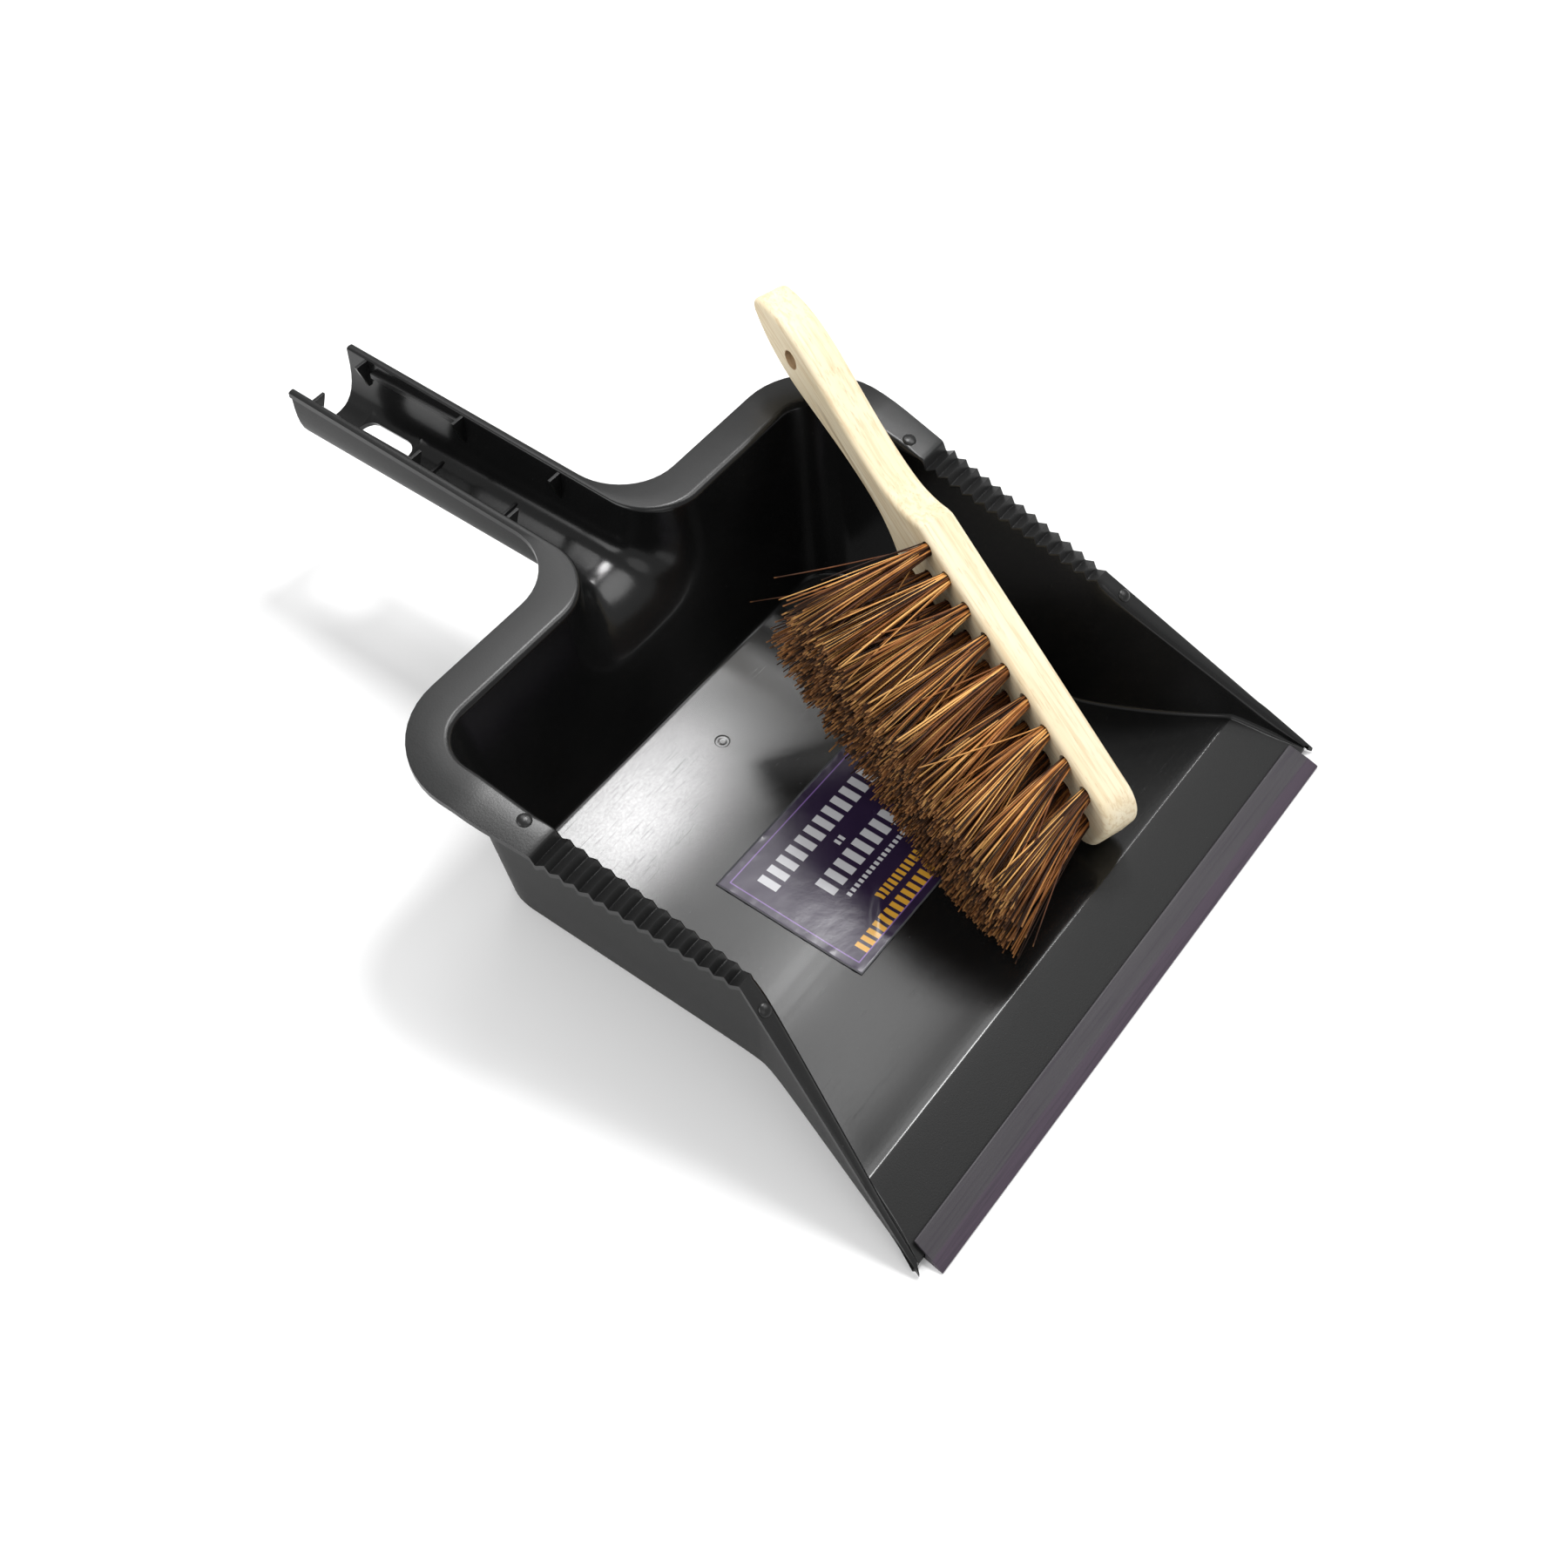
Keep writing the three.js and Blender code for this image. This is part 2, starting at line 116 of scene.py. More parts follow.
class Wire:  # a node's output, with the sums it takes part in
    def __init__(self, finish, socket):
        self.finish, self.socket = finish, socket

    def maths(self, operation, *others):
        sockets = {i: v for i, v in enumerate((self, *others))}
        return self.finish.node("ShaderNodeMath", {"operation": operation}, sockets)

    def __add__(self, other):
        return self.maths("ADD", other)

    def __sub__(self, other):
        return self.maths("SUBTRACT", other)

    def __mul__(self, other):
        return self.maths("MULTIPLY", other)

    def __truediv__(self, other):
        return self.maths("DIVIDE", other)

    def __rsub__(self, other):
        return (self * -1) + other

    __radd__ = __add__
    __rmul__ = __mul__

    def length(self):
        return self.finish.node("ShaderNodeVectorMath", {"operation": "LENGTH"}, {0: self}, 1)

    def below(self, limit, soft):  # 1 below the limit, 0 above it
        return self.finish.node("ShaderNodeMapRange", {"interpolation_type": "SMOOTHSTEP"}, {
            "Value": self, "From Min": limit - soft, "From Max": limit + soft, "To Min": 1.0, "To Max": 0.0})

    def above(self, limit, soft):
        return self.finish.node("ShaderNodeMapRange", {"interpolation_type": "SMOOTHSTEP"}, {
            "Value": self, "From Min": limit - soft, "From Max": limit + soft})


class Finish:  # a material that is made of nodes
    def __init__(self, name, **constants):
        self.material = bpy.data.materials.new(name)
        self.material.use_nodes = True
        self.tree = self.material.node_tree
        self.tree.nodes.clear()
        self.shader = self.tree.nodes.new("ShaderNodeBsdfPrincipled")
        output = self.tree.nodes.new("ShaderNodeOutputMaterial")
        self.tree.links.new(self.shader.outputs[0], output.inputs[0])
        for socket, value in constants.items():
            self.shader.inputs[socket.replace("_", " ")].default_value = value

    def node(self, kind, settings=None, sockets=None, out=0):
        made = self.tree.nodes.new(kind)
        for key, value in (settings or {}).items():
            if key == "stops":
                for k, (at, colour) in enumerate(value):
                    stop = made.color_ramp.elements[k] if k < 2 else made.color_ramp.elements.new(at)
                    stop.position, stop.color = at, (*colour, 1)
            else:
                setattr(made, key, value)
        for key, value in (sockets or {}).items():
            if isinstance(value, Wire):
                self.tree.links.new(value.socket, made.inputs[key])
            else:
                made.inputs[key].default_value = value
        return Wire(self, made.outputs[out])

    def place(self, location=(0, 0, 0), rotation=(0, 0, 0), scale=(1, 1, 1), kind="POINT"):
        spot = self.node("ShaderNodeTexCoord", out="Object")
        return self.node("ShaderNodeMapping", {"vector_type": kind}, {
            "Vector": spot, "Location": location, "Rotation": rotation, "Scale": scale})

    def axis(self, vector, k):
        return self.node("ShaderNodeSeparateXYZ", sockets={0: vector}, out=k)

    def panY(self, vector):  # millimetres behind the pan's front edge
        return (self.axis(vector, 1) - frontEdge) / mm

    def noise(self, vector, scale, detail=3.0, roughness=0.5, distortion=0.0):
        return self.node("ShaderNodeTexNoise", sockets={
            "Vector": vector, "Scale": scale, "Detail": detail, "Roughness": roughness,
            "Distortion": distortion})

    def mix(self, factor, a, b):
        return self.node("ShaderNodeMix", {"data_type": "RGBA"}, {
            0: factor, 6: (*a, 1) if isinstance(a, tuple) else a,
            7: (*b, 1) if isinstance(b, tuple) else b}, out=2)

    def ramp(self, factor, stops):
        return self.node("ShaderNodeValToRGB", {"stops": stops}, {0: factor})

    def feed(self, **wires):
        for socket, value in wires.items():
            self.tree.links.new(value.socket, self.shader.inputs[socket.replace("_", " ")])
        return self.material

    def bump(self, height, distance, strength=1.0):
        return self.node("ShaderNodeBump", sockets={
            "Height": height, "Distance": distance, "Strength": strength})


stageSettings = {
    "cameraAt": (-0.46222, -0.38284, 0.76796),
    "cameraTurn": (36.863, 0.0, -53.341),  # degrees
    "lens": 47.0,
    "backdrop": 0.54,
    "floorColour": (0.95, 0.95, 0.95),
    "floorHalf": 4.0,
    "floorBelow": 0.0002,  # keeps the floor off the pan's underside
    "lights": [  # name, place, what it points at, size, watts
        ("key", (0.86, -0.62, 1.45), (0.0, 0.0, 0.0), 0.9, 8.6),
        ("sideFill", (-1.0, 0.35, 0.85), (0.0, 0.0, 0.05), 1.0, 7.5),
        ("frontFill", (-0.60, -1.05, 1.15), (0.0, 0.0, 0.0), 1.0, 2.5),
        ("softbox", (0.54, 0.62, 1.15), (-0.04, 0.0, 0.0), 0.45, 1.9),
        ("sheen", (0.44, 0.12, 1.10), (-0.05, 0.0, 0.0), 0.24, 5.6),
        ("spark", (0.90, 0.10, 1.10), (0.0, 0.0, 0.0), 0.10, 1.3),
        ("glint", (0.66, 0.02, 1.10), (0.0, 0.0, 0.0), 0.05, 0.4),
    ],
}


def buildStage(s):
    cameraData = bpy.data.cameras.new("camera")
    cameraData.lens = s["lens"]
    cameraData.sensor_width = 36
    camera = bpy.data.objects.new("camera", cameraData)
    camera.location = s["cameraAt"]
    camera.rotation_euler = [math.radians(a) for a in s["cameraTurn"]]
    bpy.context.scene.collection.objects.link(camera)
    bpy.context.scene.camera = camera

    world = bpy.data.worlds.new("studio")
    world.use_nodes = True
    world.node_tree.nodes["Background"].inputs[0].default_value = (1, 1, 1, 1)
    world.node_tree.nodes["Background"].inputs[1].default_value = s["backdrop"]
    bpy.context.scene.world = world
    bpy.context.scene.view_settings.view_transform = "Standard"

    for name, at, aim, size, watts in s["lights"]:
        data = bpy.data.lights.new(name, "AREA")
        data.shape = "DISK"
        data.size = size
        data.energy = watts
        lamp = bpy.data.objects.new(name, data)
        lamp.location = at
        lamp.rotation_euler = (Vector(aim) - Vector(at)).to_track_quat("-Z", "Y").to_euler()
        bpy.context.scene.collection.objects.link(lamp)

    bm = bmesh.new()
    bmesh.ops.create_grid(bm, x_segments=1, y_segments=1, size=s["floorHalf"])
    mesh = bpy.data.meshes.new("floor")
    bm.to_mesh(mesh)
    bm.free()
    paper = Finish("floorPaper", Base_Color=(*s["floorColour"], 1), Roughness=0.9, Specular_IOR_Level=0.2)
    mesh.materials.append(paper.material)
    ground = bpy.data.objects.new("floor", mesh)
    ground.location.z = -s["floorBelow"]
    bpy.context.scene.collection.objects.link(ground)
    print("stage: camera, lights and floor")


plasticSettings = {
    "colour": (0.0045, 0.0047, 0.0048),
    "worn": (0.0085, 0.0086, 0.0086),
    "dust": (0.25, 0.25, 0.24),
    "dish": (170.0, 0.0014),  # where the floor's rear starts to rise, and how fast
    "ringAt": (1.0, 227.0, 0.0),
    "ring": (3.2, 4.4, 0.12),  # inner and outer radius, height
    "finishes": [  # grain and swell: the noise's scale and its height in millimetres
        {"name": "panFloorPlastic", "roughness": (0.17, 0.26), "grain": (700.0, 0.008),
         "swell": (11.0, 0.10), "shine": 0.5, "marks": 0.04, "dished": True},
        {"name": "panWallPlastic", "roughness": (0.16, 0.24), "grain": (800.0, 0.012),
         "swell": (9.0, 0.05), "shine": 0.36, "marks": 0.0, "dished": False},
        {"name": "panRimPlastic", "roughness": (0.28, 0.36), "grain": (1100.0, 0.03),
         "swell": (30.0, 0.08), "shine": 0.42, "marks": 0.0, "dished": False},
        {"name": "panRampPlastic", "roughness": (0.42, 0.54), "grain": (1400.0, 0.07),
         "swell": (30.0, 0.05), "shine": 0.28, "marks": 0.0, "dished": False},
    ],
}


def mouldedPlastic(kind):
    s = plasticSettings
    f = Finish(kind["name"], IOR=1.5, Specular_IOR_Level=kind["shine"])
    spot = f.place()
    cloud = f.noise(spot, 14.0, 4.0, 0.55)
    (grain, grainDepth), (wave, waveDepth) = kind["grain"], kind["swell"]
    fine = f.noise(spot, grain, 2.0, 0.6)
    swell = f.noise(spot, wave, 2.0, 0.4, 0.6)
    low, high = kind["roughness"]
    rough = cloud * (high - low) + low + (fine - 0.5) * 0.06
    height = fine * grainDepth + swell * waveDepth
    if kind["dished"]:  # the rear of the floor rises toward the back wall, round a ring mark
        (dishFrom, dishRise), (ringIn, ringOut, ringHigh) = s["dish"], s["ring"]
        rise = (f.panY(spot) - dishFrom).maths("MAXIMUM", 0.0)
        height = height + rise * rise * dishRise
        away = f.place(location=fromPan(*s["ringAt"]), kind="TEXTURE").length() / mm
        height = height + away.above(ringIn, 0.4) * away.below(ringOut, 0.4) * ringHigh
    dust = f.noise(spot, 900.0, 2.0, 0.7).above(0.74, 0.02)
    if kind["marks"]:
        along = f.place(rotation=(0, 0, 0.6), scale=(1, 26, 1))
        scratch = f.noise(along, 60.0, 2.0, 0.5).above(0.66, 0.03)
        turned = f.place(rotation=(0, 0, -0.9), scale=(1, 30, 1))
        scuff = f.noise(turned, 45.0, 2.0, 0.5).above(0.67, 0.03)
        rough = rough + (scratch + scuff) * kind["marks"]
    colour = f.mix(cloud.above(0.5, 0.25), s["colour"], s["worn"])
    colour = f.mix(dust * 0.12, colour, s["dust"])
    return f.feed(Base_Color=colour, Roughness=rough, Normal=f.bump(height, mm))


pan = {  # millimetres from the middle of the front edge
    "wall": 2.6,
    "rimLine": [(0, 2.4), (109.2, 79.2), (206.7, 96.4), (246, 103.4), (463.7, 110.4)],
    "rimEdge": [(0, 165), (109, 137.8), (206.7, 148), (234, 151.4), (250.5, 152)],
    "rimThick": 2.8,
    "rimFall": (0.5, 20.0),  # how far the rim's outer edge drops, and from what height on
    "sideHalf": 122.6,  # inner face of the straight side wall at floor height
    "sideDraft": 0.0875,
    "flare": (105.0, 0.379, 6.0),  # where it ends, its slope, its rounding
    "backY": 256.88,
    "backDraft": 0.158,
    "innerCorner": 19.9,
    "rimCorner": (110.0, 250.5, 42.0),  # centre and radius, as in the saddles
    "fold": (37.3, 14.7),  # y and height, as in the next two
    "rampFront": (3.5, 3.4),
    "floorRear": (126.0, 2.6),
    "floorEase": 2.4,  # the power of the valley's curve behind the fold
    "foldSoft": 1.7,
    "clear": 0.35,  # the floor's underside stays this far above the ground
    "foot": 2.0,  # the rounding between wall and floor
    "rimFillet": 3.0,  # the rounding between rim and wall
    "flareStretch": 1.07,  # the flared wall's thickness measured straight across
    "teeth": (109.2, 206.7, 14, 3.2),  # y from, y to, how many, how deep
    "toothShape": [(0.0, 0.0), (0.60, 0.94), (0.70, 1.0)],  # shares of the pitch and of the depth
    "lastTooth": 0.9,  # how much deeper the last one is
    "neckOut": (0.9, 0.2),  # the thickening under the flange
    "base": (5.0, 0.28, 1.0, 3.4),  # where its bevel starts and turns, how far in it goes there and below
    "saddle": (45.6, 301.5, 28.0),
    "rimSaddle": (53.0, 323.5, 31.0),
    "troughEnd": 463.7,
    "troughHalf": 17.6,
    "troughDepth": 26.7,
    "saddleDrop": 27.0,
    "troughPower": 0.62,
    "troughFillet": 1.2,
    "rimHalf": (22.0, 21.3),
    "slot": (416.0, 448.0, 9.2, 6.0),  # y from, y to, half width, corner radius
}


def rimHeight(y):
    return between(pan["rimLine"], y)


def floorHeight(y):
    (y0, z0), (y1, z1), (y2, z2) = pan["rampFront"], pan["fold"], pan["floorRear"]
    ramp = z0 + (z1 - z0) * (y - y0) / (y1 - y0)
    valley = z2 + (z1 - z2) * max(0.0, min(1.0, (y2 - y) / (y2 - y1))) ** pan["floorEase"]
    soft, gap = pan["foldSoft"], ramp - valley
    return min(z1, 0.5 * (ramp + valley - math.sqrt(gap * gap + soft * soft))) if y < y2 else z2


def sideInner(y, z):
    end, slope, soft = pan["flare"]
    d = end - y
    return pan["sideHalf"] + pan["sideDraft"] * z + slope * 0.5 * (d + math.hypot(d, soft))


def backInner(z):
    return pan["backY"] + pan["backDraft"] * z


def sideWall(y):  # the plan point of the side wall at a height and a distance outside its inner face
    stretch = pan["flareStretch"] if y < pan["flare"][0] else 1.0
    return lambda z, out: Vector((sideInner(y, z) + out * stretch, y))


def rearSideWall(share, y0):
    def at(z, out):
        y = y0 + (backInner(z) - pan["innerCorner"] - y0) * share
        return Vector((sideInner(y, z) + out, y))
    return at


def cornerWall(angle):
    turn = Vector((math.cos(angle), math.sin(angle)))

    def at(z, out):
        r = pan["innerCorner"]
        y = backInner(z) - r
        return Vector((sideInner(y, z) - r, y)) + turn * (r + out)
    return at


def backWall(share):
    def at(z, out):
        r = pan["innerCorner"]
        start = sideInner(backInner(z) - r, z) - r
        return Vector((start + (pan["saddle"][0] - start) * share, backInner(z) + out))
    return at


def saddleWall(angle):
    x, y, r = pan["saddle"]
    turn = Vector((math.cos(angle), math.sin(angle)))
    lean = pan["backDraft"] * (1 - math.cos(angle))
    level = (y - r - pan["backY"]) / pan["backDraft"]
    return lambda z, out: Vector((x, y)) - turn * (r - out) + Vector((0, lean * (z - level)))


def troughWall(y):
    return lambda z, out: Vector((pan["troughHalf"] + out, y))


def wallRows(wall, edge, drop, fillet):  # the section's upper and lower points, from rim to floor
    t, thick = pan["wall"], pan["rimThick"]
    top = rimHeight(wall(100, 0).y) - drop
    low = floorHeight(wall(3, 0).y)
    tall = max(0.4, top - low)
    r, f = min(fillet, 0.35 * tall), min(pan["foot"], 0.3 * tall)
    inner = wall(top, r)
    middle = (edge + inner) / 2

    def onRim(plan):
        return (plan.x, plan.y, max(0.3, rimHeight(plan.y) - drop))

    upper = [onRim(edge), onRim(middle), onRim(inner)]
    fall, fallFrom = pan["rimFall"]
    if top > fallFrom:
        x, y, z = upper[0]
        upper[0] = (x, y, z - fall)
    for degrees in (30, 60, 90):
        a = math.radians(degrees)
        z = top - r * (1 - math.cos(a))
        upper.append((*wall(z, r * (1 - math.sin(a))), z))
    zTop, zFoot = top - r, low + f
    for share in (0.25, 0.5, 0.75, 1):
        z = zTop + (zFoot - zTop) * share
        upper.append((*wall(z, 0), z))
    for degrees in (30, 60, 90):
        a = math.radians(degrees)
        z = low + f * (1 - math.sin(a))
        upper.append((*wall(z, -f * (1 - math.cos(a))), z))

    under = max(top - thick, 0.35 * top)
    lower = []
    for x, y, z in upper[:3]:
        lower.append((x, y, max(0.0, z - thick)))
    (neckOut, neckIn), (baseHigh, baseTurn, baseIn, groundIn) = pan["neckOut"], pan["base"]
    neck = wall(under, t + neckOut)
    lower[2] = (*neck, max(0.0, rimHeight(neck.y) - drop - thick))
    lower.append((*wall(under - 0.02 * under, t + neckIn), under - min(0.3, 0.04 * under)))
    lower.append((*wall(under * 0.97, t), under - min(1.0, 0.1 * under)))
    zUnder, zBase = under - min(3.0, 0.2 * under), min(baseHigh, 0.4 * under)
    lower.append((*wall(zUnder, t), zUnder))
    for share in (0.25, 0.5, 0.75, 1):
        z = zUnder + (zBase - zUnder) * share
        lower.append((*wall(z, t), z))
    z = zBase * baseTurn
    lower.append((*wall(z, t - baseIn), z))
    lower.append((*wall(0, t - groundIn), 0.0))
    lower.append((*wall(low, -f), max(pan["clear"], upper[-1][2] - t)))
    return upper, lower


cornerSteps = 12  # 7.5 degrees each


def sideStations():  # every section from the front edge to the end of the rear corner
    made, fillet = [], pan["rimFillet"]
    front = [3.5, 7, 11, 15.5, 20, 25, 30, 33.5, 35.6, 36.6, 37.3, 38, 39, 41, 44.5, 49, 54, 60, 66,
             72, 78, 84, 89, 93.5, 97, 99.5, 101.5, 103, 104.5, 106, 107.6]
    for k, y in enumerate(front):
        at, inset = (0.3, 0.2) if k == 0 else (y, 0)
        made.append((sideWall(y), Vector((between(pan["rimEdge"], at) - inset, at)), 0, fillet))
    y0, y1, count, deep = pan["teeth"]
    pitch, toothFillet, endFillet = (y1 - y0) / count, 1.0, 1.6
    for tooth in range(count):
        depth = deep + (pan["lastTooth"] if tooth == count - 1 else 0)
        for share, drop in pan["toothShape"]:
            y = y0 + pitch * (tooth + share)
            made.append((sideWall(y), Vector((between(pan["rimEdge"], y), y)), drop * depth, toothFillet))
    for y, drop in ((y1 - 0.35, 1.0), (y1 + 0.25, 0.35), (y1 + 1.3, 0.04), (y1 + 3.3, 0.0)):
        made.append((sideWall(y), Vector((between(pan["rimEdge"], y), y)), drop, endFillet))
    rear = y
    for share in (0.17, 0.34, 0.5, 0.66, 0.83):
        y = rear + (pan["rimCorner"][1] - rear) * share
        made.append((rearSideWall(share, rear), Vector((between(pan["rimEdge"], y), y)), 0, fillet))
    x, y, r = pan["rimCorner"]
    for k in range(cornerSteps + 1):
        a = math.radians(90 * k / cornerSteps)
        made.append((cornerWall(a), Vector((x + r * math.cos(a), y + r * math.sin(a))), 0, fillet))
    return made


backShares = (0, 0.12, 0.3, 0.5, 0.7, 0.88, 1)


def backStations():
    x0, y0, r0 = pan["rimCorner"]
    x1 = pan["rimSaddle"][0]
    return [(backWall(s), Vector((x0 + (x1 - x0) * s, y0 + r0)), 0, pan["rimFillet"]) for s in backShares]


troughYs = [301.5, 308, 316, 325, 334, 344, 354, 364, 374, 384, 394, 403, 410, 414.5, 416, 416.5, 417.5,
            419.3, 422, 428, 435, 442, 444.7, 446.5, 447.5, 448, 449.5, 453, 458, 463.7]
troughTurns = [0, 9, 18, 28, 39, 50, 61, 71, 80, 90]  # degrees down the trough's section
bottomRow = len(troughTurns) - 1
slotRow = 7  # the row that runs along the hanging slot's edge


def troughStations():
    made, fillet = [], pan["troughFillet"]
    x, y, r = pan["rimSaddle"]
    for k in range(cornerSteps + 1):
        a = math.radians(90 - 90 * k / cornerSteps)
        edge = Vector((x - r * math.cos(a), y - r * math.sin(a)))
        made.append((saddleWall(a), edge, a, fillet + (pan["rimFillet"] - fillet) * math.sin(a)))
    start, end = troughYs[0], pan["troughEnd"]
    half0, half1 = pan["rimHalf"]
    for at in troughYs[1:]:
        share = (at - start) / (end - start)
        edge = Vector((half0 + (half1 - half0) * share, y + (end - y) * share))
        made.append((troughWall(at), edge, 0.0, fillet))
    return made


def troughPoint(wall, angle, fillet, row, at=None):  # a point of the trough's section, and the one under it
    _, y, r = pan["saddle"]
    e, t = pan["troughPower"], pan["wall"]
    opened = 1 - math.cos(angle)
    plan = wall(rimHeight(max(wall(100, 0).y, y)), 0)
    run = max(plan.y, y)
    half = pan["troughHalf"] + r * opened
    depth = pan["troughDepth"] + rimHeight(run) - rimHeight(y) + pan["saddleDrop"] * opened - fillet
    top = rimHeight(plan.y) - fillet
    turn = math.radians(troughTurns[row])
    across = math.cos(turn) ** e if row < bottomRow else 0.0
    slotY0, slotY1, slotHalf, slotR = pan["slot"]
    if at is not None and slotRow <= row < bottomRow and slotY0 <= at <= slotY1:
        end = min(at - slotY0, slotY1 - at)
        width = slotHalf - slotR + math.sqrt(slotR ** 2 - max(0.0, slotR - end) ** 2)
        across = width / half * (1 if row == slotRow else 0.5)
    elif row == slotRow:
        across = slotHalf / pan["troughHalf"]
    cosine = across ** (1 / e)
    sine = math.sqrt(max(0.0, 1 - cosine * cosine))
    z = top - depth * sine ** e
    upper = Vector((half * across, wall(z, 0).y, z))
    least = 1e-4  # keeps the powers off zero
    normal = Vector((max(cosine, least) ** (2 - e) / half, 0, -max(sine, least) ** (2 - e) / depth))
    normal = normal.normalized() * math.cos(angle) + Vector((0, 1, 0)) * math.sin(angle)
    lower = upper + normal.normalized() * t
    if row == bottomRow:
        lower.x = 0.0
    return upper, lower


def buildPan(materials):
    floorMat, wallMat, rimMat, rampMat = range(4)
    rimRows = 3
    bm = bmesh.new()
    low = bm.verts.layers.float_vector.new("lower")

    def patch(columns, rows, place, materialOf):
        made = bmesh.ops.create_grid(bm, x_segments=columns, y_segments=rows, size=1.0)["verts"]
        spots = {}
        for v in made:
            i, j = round((v.co.x + 1) / 2 * columns), round((v.co.y + 1) / 2 * rows)
            spots[v] = (i, j)
            upper, lower = place(i, j)
            v.co = Vector(upper)
            v[low] = Vector(lower)
        for face in {f for v in made for f in v.link_faces}:
            i = min(spots[v][0] for v in face.verts)
            j = min(spots[v][1] for v in face.verts)
            face.material_index = materialOf(i, j)

    def rimOrWall(i, j):
        return rimMat if j < rimRows else wallMat

    side, back, trough = sideStations(), backStations(), troughStations()
    outline = [wallRows(*station) for station in side + back[1:]]
    last = len(outline[0][0]) - 1
    patch(len(outline) - 1, last, lambda i, j: (outline[i][0][j], outline[i][1][j]), rimOrWall)

    saddleRows = [wallRows(wall, edge, 0, fillet) for wall, edge, _, fillet in trough]
    ys = [None] * (cornerSteps + 1) + troughYs[1:]

    filletEnd, footStart = 5, 9  # the rows where the rim's rounding ends and the foot's begins
    straight = footStart - filletEnd

    def troughPlace(i, j):
        wall, _, angle, fillet = trough[i]
        if j <= filletEnd:
            return saddleRows[i][0][j], saddleRows[i][1][j]
        return troughPoint(wall, angle, fillet, j - filletEnd, ys[i])

    patch(len(trough) - 1, filletEnd + bottomRow, troughPlace, rimOrWall)

    wall, _, angle, fillet = trough[0]
    arch = [(saddleRows[0][0][filletEnd], saddleRows[0][1][filletEnd])]
    arch += [troughPoint(wall, angle, fillet, row) for row in range(1, bottomRow + 1)]
    shared = outline[-1]
    zFoot = shared[0][footStart][2]

    def belowArch(i, j):
        (x, y, z), under = arch[i]
        if j == 0:
            return (x, y, z), under
        if j <= straight:
            zz = z + (zFoot - z) * j / straight
            yy = backInner(zz)
        else:
            zz, yy = shared[0][filletEnd + j][2], shared[0][filletEnd + j][1]
        lowerRow = shared[1][filletEnd + j]
        return (x, yy, zz), (x, lowerRow[1], min(lowerRow[2], zz + 1))

    patch(bottomRow, last - filletEnd, belowArch, lambda i, j: wallMat)

    backRow = [section[0][last] for section in outline[len(side) - 1:]]
    backRow += [belowArch(i, last - filletEnd)[0] for i in range(1, bottomRow + 1)]
    wide = backRow[0][0]

    def onFloor(i, j):
        x0, y0, _ = outline[i][0][last]
        x = x0 * backRow[j][0] / wide
        z = floorHeight(y0)
        if j == 0:
            return outline[i][0][last], outline[i][1][last]
        return (x, y0, z), (x, y0, max(pan["clear"], z - pan["wall"]))

    ramps = sum(1 for station in side if station[0](3, 0).y <= pan["fold"][0]) - 1
    patch(len(side) - 1, len(backRow) - 1, onFloor, lambda i, j: rampMat if i < ramps else floorMat)

    slotY0, slotY1, slotHalf, _ = pan["slot"]

    def inSlot(face):
        middle = face.calc_center_median()
        narrow = all(v.co.x < slotHalf + 0.01 for v in face.verts) and middle.x < slotHalf - 0.1
        return narrow and slotY0 < middle.y < slotY1 and middle.z > 60

    merge = 0.02
    bmesh.ops.delete(bm, geom=[face for face in bm.faces if inSlot(face)], context="FACES")
    bmesh.ops.remove_doubles(bm, verts=bm.verts, dist=merge)
    half = bm.verts[:] + bm.edges[:] + bm.faces[:]
    bmesh.ops.mirror(bm, geom=half, matrix=Matrix.Identity(4), merge_dist=merge, axis="X")
    for v in bm.verts:
        side = v[low].x
        v[low].x = abs(side) if v.co.x > merge else -abs(side) if v.co.x < -merge else 0.0
    bmesh.ops.recalc_face_normals(bm, faces=bm.faces)
    made = bmesh.ops.extrude_face_region(bm, geom=bm.faces[:], use_keep_orig=True)
    for v in vertsOf(made):
        v.co = v[low]
    for face in made["geom"]:
        if isinstance(face, bmesh.types.BMFace):  # the outside is matt
            face.material_index = rampMat
    turnOutward(bm)
    intoFrame(bm)
    print("pan: open edges", sum(1 for e in bm.edges if len(e.link_faces) != 2))
    piece = newPiece("panShell", bm, "pan", materials)
    softenEdges(piece)
    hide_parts("pan_body")


ribSettings = {
    "gussets": (330.5, 389.5, 450.5),
    "belowRim": 0.9,
    "reach": 7.0,
    "nose": (0.6, 2.2),  # the bevel and the depth of a gusset's free end
    "drop": 15.0,
    "thick": 1.6,
    "rooted": (1.2, 1.0),  # how far a gusset and a ledge go into the trough's wall
    "footIn": 1.6,
    "ledge": (393.0, 447.0, 2.6, 3.0, 3.4),  # y from, y to, width, height, how far below the rim
    "crossRibs": (352.0, 398.0),
    "crossRib": (9.0, -1.0, 1.5, 1.4),  # half its length, z from, z to, thickness
    "sunk": 0.1,
    "flatUnder": 0.25,
    "domes": [(136.8, 218.6, 3.4, 1.2), (136.4, 97.5, 3.2, 1.5)],  # x, y, radius, height
}


def plate(bm, corners, thick):  # a flat plate in the XZ plane, given thickness along Y
    face = bm.faces.new([bm.verts.new(c) for c in corners])
    made = bmesh.ops.extrude_face_region(bm, geom=[face])
    bmesh.ops.translate(bm, verts=vertsOf(made), vec=(0, thick, 0))


